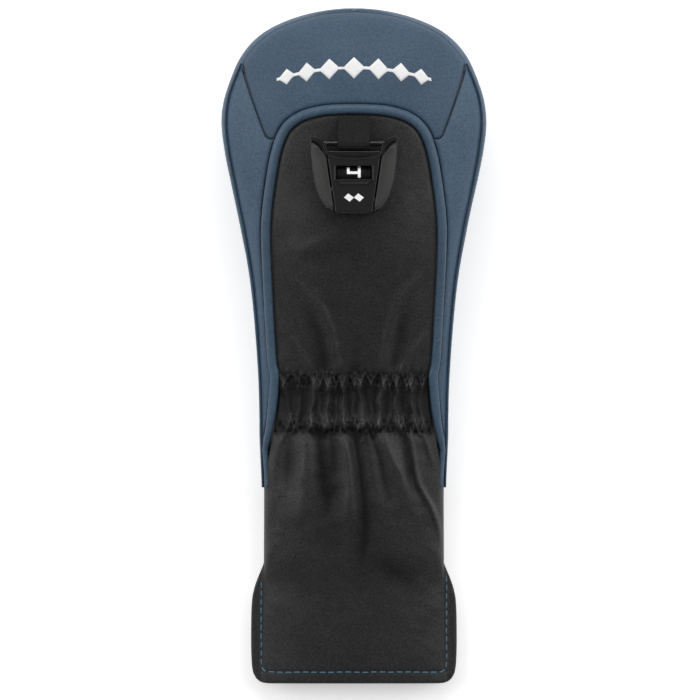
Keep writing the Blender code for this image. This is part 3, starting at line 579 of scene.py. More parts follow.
def plastic(name, colour, rough, speck=0.1, coat=0.0, specular=0.5, grain=9.0):
    n = Nodes(name, colour, rough, specular=specular)
    fine = n.noise(grain, 3, 0.6)
    n.tint(n.noise(0.4, 4), 0.9, 1.1)
    n.bump(fine, speck, 0.02)
    n.roughness(n.noise(1.6, 4), rough * 0.85, rough * 1.15)
    n.shader.inputs["Coat Weight"].default_value = coat
    n.shader.inputs["Coat Roughness"].default_value = 0.12
    return n.mat


def thread_mat(name, colour, rough=0.6, sheen=0.2):
    n = Nodes(name, colour, rough, specular=0.3)
    fine = n.noise(7.0, 3, 0.6)
    n.tint(fine, 0.75, 1.25)
    n.bump(fine, 0.4, 0.04)
    n.shader.inputs["Sheen Weight"].default_value = sheen
    return n.mat


def metal(name, colour, rough):
    n = Nodes(name, colour, rough, metallic=1.0)
    stretch = n.add("ShaderNodeVectorMath", operation="MULTIPLY")
    stretch.inputs[1].default_value = (0.6, 9.0, 9.0)
    n.link(n.mm, stretch.inputs[0])
    lines = n.noise(1.0, 4, 0.6, stretch.outputs[0])
    n.bump(lines, 0.15, 0.02)
    n.roughness(lines, rough * 0.8, rough * 1.3)
    return n.mat


BLUE = (0.0545, 0.0935, 0.1430)
M_BLUE = coated("blue_coated", BLUE, 0.52, 1.0, 0.28)
# the crown's coated fabric is the blue darkened to about 0.8: painted shade for the darker light on the crown
M_CROWN_PAINTED_SHADE = coated("blue_coated_crown_painted_shade", (0.0425, 0.0745, 0.1160), 0.52, 1.0, 0.26)
M_PIPE = coated("blue_piping", (0.047, 0.082, 0.125), 0.46, 0.7, 0.32)
M_TWILL = twill("black_twill", (0.0208, 0.0208, 0.0210), 0.38)
M_CUFF = twill("black_cuff", (0.0225, 0.0225, 0.0228), 0.40, 0.55, 0.3)
M_FLEECE = thread_mat("grey_fleece", (0.06, 0.06, 0.065), 0.9, 0.6)
M_FOAM = thread_mat("foam", (0.35, 0.35, 0.33), 0.95, 0.1)
M_ELASTIC = twill("elastic_rib", (0.04, 0.04, 0.04), 0.8, 0.9, 0.3)
M_STITCH = thread_mat("stitch_blue", (0.060, 0.150, 0.225), 0.55)
M_WHITE = thread_mat("white_satin_thread", (0.80, 0.80, 0.80), 0.5, 0.3)
M_WEB = twill("black_webbing", (0.0175, 0.0175, 0.0170), 0.6, 0.2, 0.25, 0.0, 0.2)
M_GLOSS = plastic("gloss_black", (0.006, 0.006, 0.0062), 0.24, 0.05, 0.15, specular=0.4)
M_TAG = plastic("tag_face", (0.0085, 0.0085, 0.0085), 0.3, 0.12, specular=0.45)
M_WING = plastic("satin_grey_wing", (0.0240, 0.0240, 0.0232), 0.50, 0.3, specular=0.38, grain=5.0)
M_DRUM = plastic("drum_black", (0.005, 0.005, 0.005), 0.6, 0.05, specular=0.10)
M_PRINT = plastic("white_print", (0.86, 0.86, 0.86), 0.5, 0.05)
M_STEEL = metal("spring_steel", (0.55, 0.55, 0.56), 0.3)

# ------------------------------------------------------------- plan curves
perimeter_y = np.concatenate([np.linspace(BACK_END, 104, 240), CAP_Y + 52.9 * np.sin(np.linspace(0, np.pi / 2, 160)) ** 0.9])


def seam_half(y):
    """Half width in plan of the perimeter seam."""
    a, e, h = dims(y)
    q = np.clip(seam_rise(y) / np.maximum(h, 1e-6), 0, 1)
    return a * np.sqrt(1 - q * q)


top_y = 157.75
for _ in range(40):  # where the seam crosses the middle
    top_y += 0.3 * (dims(top_y)[2] - seam_rise(top_y)) / 10
seam_y = np.concatenate([np.linspace(BACK_END, CAP_Y, 260), CAP_Y + (top_y - CAP_Y) * np.sin(np.linspace(0.01, np.pi / 2, 220)) ** 0.8])
SEAM_R = np.stack([seam_half(seam_y), seam_y], 1)
SEAM_R[-1, 0] = 0.0
PIPE_MID = shift(ARCH, 2.4)
PIPE_OUT = shift(ARCH, 4.75)
mid = len(PIPE_OUT) // 2
PIPE_OUT_R = PIPE_OUT[mid:]

def cut_at(path, y):
    """Index of the last point of a path that starts high with height at or above y."""
    keepers = np.nonzero(path[:, 1] >= y)[0]
    return keepers[-1]


# crown: bottom follows the piping, from one toe to the other
toe = cut_at(PIPE_OUT_R, 97.9)
crown_bottom_r = PIPE_OUT_R[: toe + 1]
crown_bottom = np.vstack([crown_bottom_r[::-1] * [-1, 1], crown_bottom_r[1:]])
corner = int(np.argmin(np.abs(SEAM_R[:, 1] - 133.3) + (SEAM_R[:, 1] < 100) * 99))
side_line = path_smooth([tuple(PIPE_OUT_R[toe]), (39.2, 97.75), (41.0, 98.4), (42.4, 100.6), (46.0, 110.3), (49.8, 121.8), tuple(SEAM_R[corner])], 8)
crown_top_r = SEAM_R[corner:][::-1]
crown_top = np.vstack([crown_top_r[::-1] * [-1, 1], crown_top_r[1:]])
plan = coons(crown_bottom, crown_top, side_line * [-1, 1], side_line, 150, 260, bias_v=ends_dense)
X, Y = plan[..., 0], plan[..., 1]
Z = base_z(X, Y) + swell(X, Y)
side_seam, rim_seam = resample(side_line, 90), resample(crown_top, 160)
Z -= np.maximum(np.maximum(seam_dip(X, Y, [side_seam, side_seam * [-1, 1]], 0.75, 0.75), seam_dip(X, Y, [resample(crown_bottom, 120)], 0.9, 0.9)), seam_dip(X, Y, [rim_seam], 0.62, 0.75))
# the crown's value is painted shade along its seam grooves
finish_piece(
    shade(grid("crown_panel_skin", np.dstack([X, Y, Z]), thick=1.2), seam_painted_shade(X, Y, [side_seam, side_seam * [-1, 1], resample(crown_bottom, 120)]) + seam_painted_shade(X, Y, [rim_seam], 0.4, 0.5)),
    "cover", M_CROWN_PAINTED_SHADE, "crown_panel",
)

# side panels
for side, sign in (("right", 1), ("left", -1)):
    outer = SEAM_R[: corner + 1]
    inner = PIPE_OUT_R[toe:][::-1]
    # the panel narrows to nothing where the piping meets the silhouette
    limit = seam_half(inner[:, 1]) - 0.05
    inner = np.stack([np.minimum(inner[:, 0], limit), inner[:, 1]], 1)
    start = np.array([[inner[0, 0], inner[0, 1]], [outer[0, 0], outer[0, 1]]])
    flank = path_smooth([tuple(PIPE_OUT_R[toe]), (39.2, 97.75), (41.0, 98.4), (42.4, 100.6), (46.1, 110.3), (50.4, 121.8), (54.0, 132.3)], 8)
    plan = coons(start, np.vstack([flank, SEAM_R[corner][None]]), inner, outer, 420, 60)
    X, Y = plan[..., 0], plan[..., 1]
    Z = base_z(X, Y) + swell(X * sign, Y)
    in_dip = seam_dip(X, Y, [resample(inner, 150)], 0.9, 0.8) * (0.30 + 0.70 * smooth((Y + 10) / 60))
    out_dip = seam_dip(X, Y, [resample(outer, 180)], 0.62, 0.75) * (0.3 + 0.7 * smooth((Y + 30) / 60))
    Z -= np.maximum(np.maximum(seam_dip(X, Y, [side_seam], 0.75, 0.75), in_dip), out_dip)
    # painted shade along the side panel's seams, carried in dark
    dark = np.maximum(seam_painted_shade(X, Y, [side_seam], 0.5), seam_painted_shade(X, Y, [resample(inner, 150)], 0.5) * (0.15 + 0.85 * smooth((Y - 10) / 70)))
    dark = np.maximum(dark, seam_painted_shade(X, Y, [resample(outer, 180)], 0.4, 0.35) * smooth((Y - 30) / 60))
    finish_piece(shade(grid("side_panel_skin_" + side, np.dstack([X * sign, Y, Z]), up=sign > 0, thick=1.2), dark), "cover", M_BLUE, "side_panel_" + side)

# back panel: from the perimeter seam, round the edge and under
def under(y, count, depth=0.0):
    """Rows of the wrapped panel at stations y: from the seam on +X, round the edge, under, to the seam on -X."""
    rows = []
    for yy in y:
        a, e, h = (float(v) for v in dims(yy))
        s = min(max((yy - CAP_Y) / (TIP_Y - CAP_Y), 0), 1)
        low = e - (float(edge_z(yy))) * math.sqrt(max(0.0, 1 - s**5))
        flat = 0.55 * a
        q = min(1.0, float(seam_rise(yy)) / max(h, 1e-6))
        first = math.asin(q)
        n_rim, n_arc, n_flat = count
        pts = []
        for lap, inset in ((2.4, 2.1), (1.2, 1.7), (0.3, 0.95)):  # turned in under the front panels
            t = min(first + lap / max(a, 6.0), math.pi / 2)
            inset *= min(1.0, a / 20.0)
            small = max(a - inset, 0.0) / max(a, 1e-6)
            pts.append((a * small * math.cos(t), e + max(h - inset, 0.0) * math.sin(t)))
        for k in range(n_rim):
            t = first * (1 - k / n_rim)
            pts.append((a * math.cos(t), e + h * math.sin(t)))
        for k in range(n_arc):
            t = math.pi / 2 * k / n_arc
            pts.append((flat + (a - flat) * math.cos(t), e - (e - low) * math.sin(t)))
        for k in range(n_flat + 1):
            pts.append((flat - flat * k / n_flat, low))
        half = np.array(pts)
        whole = np.vstack([half, half[-2::-1] * [-1, 1]])
        rows.append(np.column_stack([whole[:, 0], np.full(len(whole), yy), whole[:, 1]]))
    return np.array(rows)


rows = np.concatenate([np.linspace(BACK_END, 100, 120), CAP_Y + (TIP_Y - CAP_Y) * np.sin(np.linspace(0.0, np.pi / 2 - 0.075, 90)) ** 0.8])
wrap = under(rows, (10, 16, 10))
last = wrap[-1:].copy()  # the tip closes on a short line
last[..., 1] = TIP_Y - 0.05
last[..., 0] *= 0.9
last[..., 2] = edge_z(TIP_Y)
wrap = np.concatenate([wrap, last])
X, Y, Z = wrap[..., 0], wrap[..., 1], wrap[..., 2]
above = np.clip((Z - edge_z(Y)) / np.maximum(seam_rise(Y), 0.5), 0, 1)
Z = Z + swell(X, Y) * above - 0.5 * above**6 * (0.3 + 0.7 * smooth((Y + 30) / 60))
low_wave = 0.16 * waves(X, Y, 28.0, 51) * np.clip((Z - 1.0) / 4.0, 0, 1) * (1 - above)
wrap = np.dstack([X - np.sign(X) * np.abs(low_wave), Y, np.maximum(Z, 0.02)])
finish_piece(grid("back_panel_skin", wrap, thick=1.2), "cover", M_BLUE, "back_panel")


# ------------------------------------------------------ black insert and waist
def black_z(x, y):
    z = base_z(x, y) + folds(x, y) * keep(x, y)
    k = smooth((-100 - y) / 8)
    groove = np.minimum(np.abs(np.abs(x) - STITCH_X + 0.0), 9.0)
    z = z - k * 0.42 * np.exp(-((groove / 0.75) ** 2)) * (y > STITCH_Y - 0.5)
    inside = np.clip((STITCH_X - 1.5 - np.abs(x)) / 2.0, 0, 1)
    z = z - k * 0.28 * inside * np.exp(-(((y - STITCH_Y) / 0.8) ** 2))
    lip = np.clip((-158.6 - y) / 1.4, 0, 1)
    return z - 1.3 * (1 - np.sqrt(np.clip(1 - lip**2, 0, 1)))


# insert: arch down to the upper row
right_i = ARCH[len(ARCH) // 2:]
right_i = right_i[: cut_at(right_i, WAIST_TOP) + 1]
split = cut_at(right_i, 105.6)
top_r, side_r = right_i[: split + 1], right_i[split:]
ins_top = np.vstack([top_r[::-1] * [-1, 1], top_r[1:]])
ins_right = side_r[::-1]
ins_bottom = np.array([[-ins_right[0, 0], ins_right[0, 1]], [ins_right[0, 0], ins_right[0, 1]]])
plan = coons(ins_bottom, ins_top, ins_right * [-1, 1], ins_right, 240, 190, bias_v=lambda t: 0.45 * t**2.2 + 0.55 * t)
X, Y = plan[..., 0], plan[..., 1]
Z = black_z(X, Y)
Z -= seam_dip(X, Y, [shift(ARCH, 0.2)[::4]], 0.9, 1.0)
# the mesh's value is painted shade in the folds and a painted highlight on their crests
finish_piece(shade(grid("insert_twill", np.dstack([X, Y, Z]), thick=0.9), painted_shade_and_highlight(X, Y)), "cover", M_TWILL, "front_insert_panel")


def strip(name, y0, y1, n, m, node, mat, thick=0.9):
    """Rows across the black cloth between two heights."""
    ys = np.linspace(y0, y1, n)
    r = ARCH[len(ARCH) // 2:]
    edge = np.interp(-ys, -r[:, 1], r[:, 0])
    t = np.linspace(-1, 1, m)[None, :]
    X = edge[:, None] * t
    Y = np.broadcast_to(ys[:, None], X.shape)
    Z = black_z(X, Y) - seam_dip(X, Y, [np.stack([edge, ys], 1)[::3] + [0.2, 0], np.stack([-edge, ys], 1)[::3] - [0.2, 0]], 0.7, 0.9)
    # the mesh's value is painted shade in the folds and a painted highlight on their crests
    return finish_piece(shade(grid(name, np.dstack([X, Y, Z]), thick=thick), painted_shade_and_highlight(X, Y)), "cover", mat, node)


edge_low = float(np.interp(-ins_right[0, 1], -right_i[:, 1], right_i[:, 0]))
strip("waist_shirring", WAIST_LOW, float(ins_right[0, 1]), 150, 360, "waist_gather_band", M_TWILL)

# sleeve front, with the flanges of the cuff
ys = np.concatenate([np.linspace(-160.0, -157.0, 14)[:-1], np.linspace(-157.0, -100, 110)[:-1], -100 + (WAIST_LOW + 100) * np.linspace(0, 1, 150) ** 0.8])
r = ARCH[len(ARCH) // 2:]
edge = np.interp(-ys, -r[:, 1], r[:, 0])
a_all = dims(ys)[0]
W = np.where(ys < -100, np.maximum(flange_w(ys), 0), a_all)
join = smooth((-56.0 - ys) / 11.0)
phi = np.arccos(np.clip(np.minimum(edge / a_all, 1.0) * (1 - join) + join, -1, 1))
cols = np.linspace(0, 1, 260)
angle = phi[:, None] + (np.pi - 2 * phi[:, None]) * (1 - cols[None, :])
X = np.where((ys > BACK_END)[:, None], a_all[:, None], W[:, None]) * np.cos(angle)
Y = np.broadcast_to(ys[:, None], X.shape).copy()
Z = black_z(X, Y)
# the mouth is left straight: the shift below is zero
Y -= 0.0
# the mesh's value is painted shade in the folds and a painted highlight on their crests
finish_piece(shade(grid("sleeve_front_skin", np.dstack([X, Y, Z]), thick=1.0), painted_shade_and_highlight(X, Y)), "cover", M_CUFF, "sock_front_panel")

# sleeve back with flanges
ys = np.concatenate([np.linspace(-160.0, -157.0, 10)[:-1], np.linspace(-157.0, -98, 70)[:-1], np.linspace(-98, BACK_END, 30)])
rows = []
for yy in ys:
    a, e, h = (float(v) for v in dims(yy))
    w = float(flange_w(yy)) if yy < -100 else a
    k = float(smooth((-97.0 - yy) / 17.0))
    body_w = (1 - k) * a + k * min(STITCH_X, w)
    flat = 0.55 * a
    pts = []
    for j in range(8):
        t = j / 8
        x = w + (body_w - w) * t
        tip = min(max((x - (w - 1.1)) / 1.1, 0), 1)
        pts.append((x, e - k * FLANGE * math.sqrt(max(0.0, 1 - tip * tip))))
    for j in range(16):
        t = math.pi / 2 * j / 16
        pts.append((flat + (body_w - flat) * math.cos(t), (e - k * FLANGE) - (e - k * FLANGE) * math.sin(t)))
    for j in range(9):
        pts.append((flat - flat * j / 8, 0.02))
    half = np.array(pts)
    whole = np.vstack([half, half[-2::-1] * [-1, 1]])
    rows.append(np.column_stack([whole[:, 0], np.full(len(whole), yy), np.maximum(whole[:, 1], 0.02)]))
finish_piece(grid("sleeve_back_skin", np.array(rows), thick=1.0), "cover", M_CUFF, "sock_back_panel")


# ------------------------------------------------------------------- piping
def sweep(name, path, normals, radius, sides=16, flatten=1.0):
    path = np.asarray(path, float)
    t = np.gradient(path, axis=0)
    t /= np.linalg.norm(t, axis=1)[:, None]
    n = np.asarray(normals, float)
    b = np.cross(t, n)
    b /= np.linalg.norm(b, axis=1)[:, None]
    n = np.cross(b, t)
    ang = np.linspace(0, 2 * np.pi, sides, endpoint=False)
    r = np.broadcast_to(np.asarray(radius, float), (len(path),))
    ring = path[:, None] + r[:, None, None] * (np.cos(ang)[None, :, None] * b[:, None] + flatten * np.sin(ang)[None, :, None] * n[:, None])
    obj = grid(name, ring, closed=True)
    work = bmesh.new()
    work.from_mesh(obj.data)
    bmesh.ops.holes_fill(work, edges=[e for e in work.edges if e.is_boundary], sides=0)
    bmesh.ops.recalc_face_normals(work, faces=work.faces)
    work.to_mesh(obj.data)
    work.free()
    return obj


def surface_normal(x, y):
    e = 0.25
    a = np.maximum(dims(y)[0], 1.0)
    xc = np.clip(x, -a + 0.8, a - 0.8)
    dx = (base_z(xc + e, y) - base_z(xc - e, y)) / (2 * e)
    dy = (base_z(xc, y + e) - base_z(xc, y - e)) / (2 * e)
    n = np.stack([-dx, -dy, np.ones_like(dx)], -1)
    return n / np.linalg.norm(n, axis=-1)[..., None]


line = resample(PIPE_MID, 420)
a_line = dims(line[:, 1])[0]
room = np.clip((a_line - 1.2), 1, None)
line[:, 0] = np.sign(line[:, 0]) * np.minimum(np.abs(line[:, 0]), room)
nrm = surface_normal(line[:, 0], line[:, 1])
zline = base_z(line[:, 0], line[:, 1])
radius = 2.35 - 0.9 * smooth((-20 - line[:, 1]) / 40) + 0.05 * np.sin(np.arange(420) * 0.9) * np.sin(np.arange(420) * 0.37)
pts = np.column_stack([line, zline]) + nrm * (0.0 - 0.5 * smooth((-38 - line[:, 1]) / 26))[:, None]
finish_piece(sweep("piping_roll", pts, nrm, radius, 18, 0.85), "cover", M_PIPE, "insert_piping")

# ------------------------------------------------------- inner soft layers
def inner_shell(name, depth, thick, front, y0, y1, node, mat):
    """Smooth inner layer, from the same section as the outer skin."""
    ys = np.concatenate([np.linspace(y0, 104, 90), CAP_Y + (TIP_Y - depth(CAP_Y) - CAP_Y) * np.sin(np.linspace(0, np.pi / 2 - 0.03, 40)) ** 0.8]) if y1 is None else np.linspace(y0, y1, 60)
    rows = []
    for yy in ys:
        d = depth(yy)
        s = min(max((yy - CAP_Y) / (TIP_Y - d - CAP_Y), 0), 1)
        r = math.sqrt(max(0.0, 1 - s**CAP_POWER))
        wide = (float(half_width(yy)) - d) * r
        e = float(edge_z(yy))
        high = (float(crest_z(yy)) - e - d) * r
        low = e - (e - d) * math.sqrt(max(0.0, 1 - s**5))
        q = math.asin(min(1.0, max(0.0, float(seam_rise(yy)) / max(high, 1e-6))))
        if front:
            ang = np.linspace(q, math.pi - q, 61)
            rows.append(np.column_stack([wide * np.cos(ang), np.full(61, yy), e + high * np.sin(ang)]))
        else:
            flat = 0.55 * wide
            ang = np.linspace(q, 0, 6)[:-1]
            rim = np.column_stack([wide * np.cos(ang), e + high * np.sin(ang)])
            arc = np.linspace(0, math.pi / 2, 18)
            part = np.column_stack([flat + (wide - flat) * np.cos(arc), e - (e - low) * np.sin(arc)])
            half = np.vstack([rim, part, [[0, low]]])
            whole = np.vstack([half, half[-2::-1] * [-1, 1]])
            rows.append(np.column_stack([whole[:, 0], np.full(len(whole), yy), whole[:, 1]]))
    P = np.array(rows)
    obj = grid(name, P, up=not front, thick=thick, weld=True)
    return finish_piece(obj, "cover", mat, node)


def lining_depth(y):
    return float(np.interp(y, [-160, -52, -40, -16, -9, 105], [2.7, 2.7, 4.4, 4.4, 6.8, 6.8])) + 0.2


inner_shell("lining_fleece_front", lining_depth, 0.8, True, -147.6, None, "lining_front", M_FLEECE)
inner_shell("lining_fleece_back", lining_depth, 0.8, False, -147.6, None, "lining_back", M_FLEECE)
inner_shell("hem_facing_front", lambda y: 1.7, 0.8, True, -159.6, -148.0, "mouth_facing_front", M_CUFF)
inner_shell("hem_facing_back", lambda y: 1.7, 0.8, False, -159.6, -148.0, "mouth_facing_back", M_CUFF)
inner_shell("foam_front", lambda y: 3.2, 2.7, True, -8.0, None, "padding_front", M_FOAM)
inner_shell("foam_back", lambda y: 3.2, 2.7, False, -8.0, None, "padding_back", M_FOAM)
for node, mat in (("waist_elastic", M_ELASTIC), ("drum_axle", M_STEEL), ("detent_spring", M_STEEL), ("cover_screw_left", M_STEEL), ("cover_screw_right", M_STEEL)):
    for slot_ in NODES[node].material_slots:
        slot_.material = mat

# ---------------------------------------------------------------- embroidery
LOZENGES = [(0.0, 5.3, 5.4), (11.6, 5.0, 5.1), (22.3, 4.5, 4.6), (31.8, 4.0, 3.9)]
LOZENGES = [(-x, a, b) for x, a, b in LOZENGES[:0:-1]] + LOZENGES
xs = np.linspace(-36.5, 36.5, 560)
half_h = np.max([b * (1 - np.abs(xs - x) / a) for x, a, b in LOZENGES] + [np.full(xs.shape, 0.8)], axis=0)
v = np.linspace(-1, 1, 25)
X = np.broadcast_to(xs, (25, 560))
Y = 131.4 - 5.6 * (X / 36.5) ** 2 + v[:, None] * half_h
pad = 0.85 * (1 - np.abs(v[:, None]) ** 6) * np.clip(half_h / 1.6, 0.45, 1.0)
satin = 0.11 * np.sin(2 * math.pi * (X + 0.18 * (Y - 131)) / 0.52)
Z = base_z(X, Y) - 0.15 + pad + satin * (1 - np.abs(v[:, None]) ** 8)
finish_piece(grid("crown_motif_stitching", np.dstack([X, Y, Z]), thick=0.5), "cover", M_WHITE, "crown_embroidery")

# --------------------------------------------------------- cuff topstitching
EDGE = [(43.9, -108.6), (43.9, -130), (43.9, -149.6), (43.5, -152.3), (42.0, -154.0), (39.4, -154.55), (20, -154.6), (0, -154.6)]
half = path_smooth(EDGE, 8)
u_line = resample(np.vstack([half, half[-2::-1] * [-1, 1]]), 1200)
run = np.concatenate([[0], np.cumsum(np.linalg.norm(np.diff(u_line, axis=0), axis=1))])
rings, faces, pitch = [], [], 4.05
jig = np.random.default_rng(19)
for k in range(int(run[-1] / pitch)):
    lo, hi = k * pitch + 0.38 + jig.uniform(-0.08, 0.08), (k + 1) * pitch - 0.38 + jig.uniform(-0.08, 0.08)
    t = np.linspace(lo, hi, 13)
    px, py = np.interp(t, run, u_line[:, 0]), np.interp(t, run, u_line[:, 1])
    q = np.linspace(-1, 1, 13)
    side = jig.uniform(-0.10, 0.10)
    pz = black_z(px, py) + 0.20 - 0.75 * np.abs(q) ** 5
    tx, ty = np.gradient(px), np.gradient(py)
    size = np.hypot(tx, ty)
    nx, ny = -ty / size, tx / size
    thick = 0.33 * (1 - 0.55 * np.abs(q) ** 5) * (1 + 0.07 * np.sin(9 * q))
    start = len(rings) * 8
    for j in range(13):
        for m in range(8):
            a = 2 * math.pi * m / 8
            rings.append((px[j] + nx[j] * (thick[j] * math.cos(a) + side), py[j] + ny[j] * (thick[j] * math.cos(a) + side), pz[j] + thick[j] * math.sin(a)))
    start = len(rings) - 13 * 8
    for j in range(12):
        for m in range(8):
            a, b = start + j * 8 + m, start + j * 8 + (m + 1) % 8
            faces.append((a, b, b + 8, a + 8))
    faces.append(tuple(start + m for m in range(7, -1, -1)))
    faces.append(tuple(start + 96 + m for m in range(8)))
mesh = bpy.data.meshes.new("topstitch_threads")
mesh.from_pydata((np.array(rings) * MM).tolist(), [], faces)
mesh.polygons.foreach_set("use_smooth", np.ones(len(mesh.polygons), bool))
finish_piece(put(bpy.data.objects.new("topstitch_threads", mesh)), "cover", M_STITCH, "cuff_topstitch")

# ------------------------------------------------------------------- webbing
BAR_Y, BAR_Z, TOP_Y, TOP_Z = 95.6, 53.4, 107.0, 50.0
r_top, r_bar = 1.35, 2.8
reach, lean = math.hypot(TOP_Y - BAR_Y, TOP_Z - BAR_Z), math.atan2(TOP_Z - BAR_Z, TOP_Y - BAR_Y)
spread = math.acos((r_bar - r_top) / reach)
a1 = np.linspace(lean - spread, lean + spread, 30)
a2 = np.linspace(lean + spread, lean + 2 * math.pi - spread, 60)
loop = np.vstack([
    np.stack([TOP_Y + r_top * np.cos(a1), TOP_Z + r_top * np.sin(a1)], 1),
    np.stack([BAR_Y + r_bar * np.cos(a2), BAR_Z + r_bar * np.sin(a2)], 1),
])
loop = resample(np.vstack([loop, loop[:1]]), 329)[:-1]
s_run = np.arange(328) / 328 * 34 * math.pi
nrm2 = np.gradient(np.vstack([loop[-1:], loop, loop[:1]]), axis=0)[1:-1]
nrm2 /= np.linalg.norm(nrm2, axis=1)[:, None]
out2 = np.stack([nrm2[:, 1], -nrm2[:, 0]], 1)
xw = np.linspace(-7.35, 7.35, 96)
rib = np.abs(np.sin(s_run))[:, None] ** 0.6
brick = 0.72 + 0.28 * np.sin(2 * math.pi * xw[None, :] / 1.25 + math.pi * np.floor(s_run / math.pi)[:, None])
lift = 0.42 * rib * brick - 0.30 + 0.10 * (np.abs(xw[None, :]) > 6.6)
lift = lift - 0.25 * np.clip((np.abs(xw[None, :]) - 7.1) / 0.25, 0, 1) ** 2
P = np.zeros((328, 96, 3))
P[..., 0] = xw + 0.05 * np.sin(s_run * 2.0)[:, None] * (np.abs(xw) > 6.9)
P[..., 1] = loop[:, 0][:, None] + out2[:, 0][:, None] * lift
P[..., 2] = loop[:, 1][:, None] + out2[:, 1][:, None] * lift
web = grid("ribbed_webbing", P.transpose(1, 0, 2), closed=True)
web.data.materials.append(M_WEB)
# painted shade between the ribs of the webbing, darker where the ribs are low
shade(web, (1 - rib * brick).T)
work = bmesh.new()
work.from_mesh(web.data)
bmesh.ops.recalc_face_normals(work, faces=work.faces)
work.to_mesh(web.data)
work.free()
solidify = web.modifiers.new("thickness", "SOLIDIFY")
solidify.thickness = 0.9 * MM
solidify.offset = 0
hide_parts("webbing_strap")
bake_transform(web)


# ---------------------------------------------------------------- number tag
def ride_tag(obj, mat, *nodes, body="tag"):
    return finish_piece(obj, body, mat, *nodes)


def row_half(y):
    return np.interp(y, [62.5, 63.1, 64.2, 89.6, 92.0], [7.9, 8.5, 8.9, 12.5, 12.75])


ny, nx = 250, 210
yy = np.linspace(62.45, 91.6, ny)
X = row_half(yy)[:, None] * np.linspace(-1, 1, nx)[None, :]
Y = np.broadcast_to(yy[:, None], X.shape).copy()
Y[:6] += (0.35 * (X[:6] / 8.0) ** 2)  # rounded bottom edge
ridge = 88.25 + 1.35 * (X / 12.6) ** 2
over = Y - ridge
face_z = 58.35 - 0.35 * np.clip((84 - Y) / 22, 0, 1) ** 2 + 0.50 * np.exp(-((over + 0.22) / 0.23) ** 2)
face_z -= np.clip(over, 0, None) * 1.55 * smooth(over / 0.5)
side_gap = row_half(Y) - np.abs(X)
face_z -= 0.45 * np.clip(1 - side_gap / 0.55, 0, 1) ** 2
face_z -= 0.9 * np.clip(1 - (Y - 62.45) / 1.2, 0, 1) ** 2
corner = (Y - 76.55) * 0.74 + (8.6 - np.abs(X)) * 0.67 - 1.45
lip = np.minimum(np.minimum(8.55 - np.abs(X), 86.5 - Y), np.minimum(Y - 76.6, corner))
face_z += 0.62 * np.exp(-(np.abs(lip + 0.30) / 0.25) ** 2.2) * smooth((84.9 - Y) / 0.5)
face_z -= 0.28 * smooth((lip - 0.05) / 0.3) * smooth((85.4 - Y) / 0.5)
inside = np.minimum(np.minimum(8.3 - np.abs(X), 84.95 - Y), np.minimum(Y - 78.45, corner - 0.4))
wall = np.clip(53.5 + np.sqrt(np.clip(4.28**2 - (Y - 80.9) ** 2, 0, None)), 54.6, 57.7)  # the walls stop just over the drum
hole = inside > 0.06
face_z = np.where(hole, wall, face_z)
P = np.dstack([X, Y, face_z])
rim = np.pad(P, ((1, 1), (1, 1), (0, 0)), mode="edge")
rim[0, :, 2] = rim[-1, :, 2] = 52.0
rim[:, 0, 2] = rim[:, -1, 2] = 52.0
face = grid("tag_face_moulding", rim, thick=None)
gone = np.pad(hole, 1, mode="edge").ravel()
work = bmesh.new()
work.from_mesh(face.data)
bmesh.ops.delete(work, geom=[f for f in work.faces if all(gone[v.index] for v in f.verts)], context="FACES")
work.to_mesh(face.data)
work.free()
ride_tag(face, M_TAG, body="tag")

edge_r = [(20.3, 98.6), (20.4, 96.0), (20.1, 89.0), (19.2, 80.0), (17.2, 71.5), (13.4, 65.0), (10.4, 62.8), (8.8, 62.45)]
inner_r = [(12.3, 89.6), (12.6, 92.0), (13.4, 94.6), (15.0, 96.9), (17.4, 98.3)]
plate = inner_r + [tuple(q) for q in path_smooth(edge_r, 5)]
plate = plate + [(-x, y) for x, y in plate[::-1]]
base = solid("tag_base_moulding", plate, 50.2, 55.15, 0.45)
cutter = solid("opening", [(-8.6, 76.3), (8.6, 76.3), (8.6, 85.6), (-8.6, 85.6)], 48.0, 58.0, 0.1)
cut = base.modifiers.new("opening", "BOOLEAN")
cut.object, cut.operation, cut.solver = cutter, "DIFFERENCE", "EXACT"
bpy.context.view_layer.update()
opened = bpy.data.meshes.new_from_object(base.evaluated_get(bpy.context.evaluated_depsgraph_get()))
base.modifiers.clear()
base.data = opened
bpy.data.objects.remove(cutter)
ride_tag(base, M_GLOSS, "tag_front_shell")

# stepped horns that hold the bar
horn = [(12.5, 91.0), (13.3, 94.5), (14.9, 96.9), (17.4, 98.4), (20.3, 98.75), (20.3, 96.9), (18.3, 96.35), (16.5, 94.7), (15.2, 92.3), (14.7, 89.9), (12.6, 89.6)]
step = [(13.3, 91.4), (14.2, 94.1), (15.7, 96.2), (17.6, 97.3), (19.9, 97.75), (19.8, 97.1), (18.0, 96.6), (16.1, 95.0), (14.8, 92.6), (14.3, 90.6), (13.3, 90.6)]
for side, sign in (("right", 1), ("left", -1)):
    low = [tuple(q) for q in path_smooth([(x * sign, y) for x, y in horn], 3)]
    ride_tag(solid("horn_outer_" + side, low, 54.6, 57.1, 0.30), M_GLOSS)
    high = [tuple(q) for q in path_smooth([(x * sign, y) for x, y in step], 3)]
    ride_tag(solid("horn_step_" + side, high, 56.9, 58.1, 0.28), M_GLOSS)

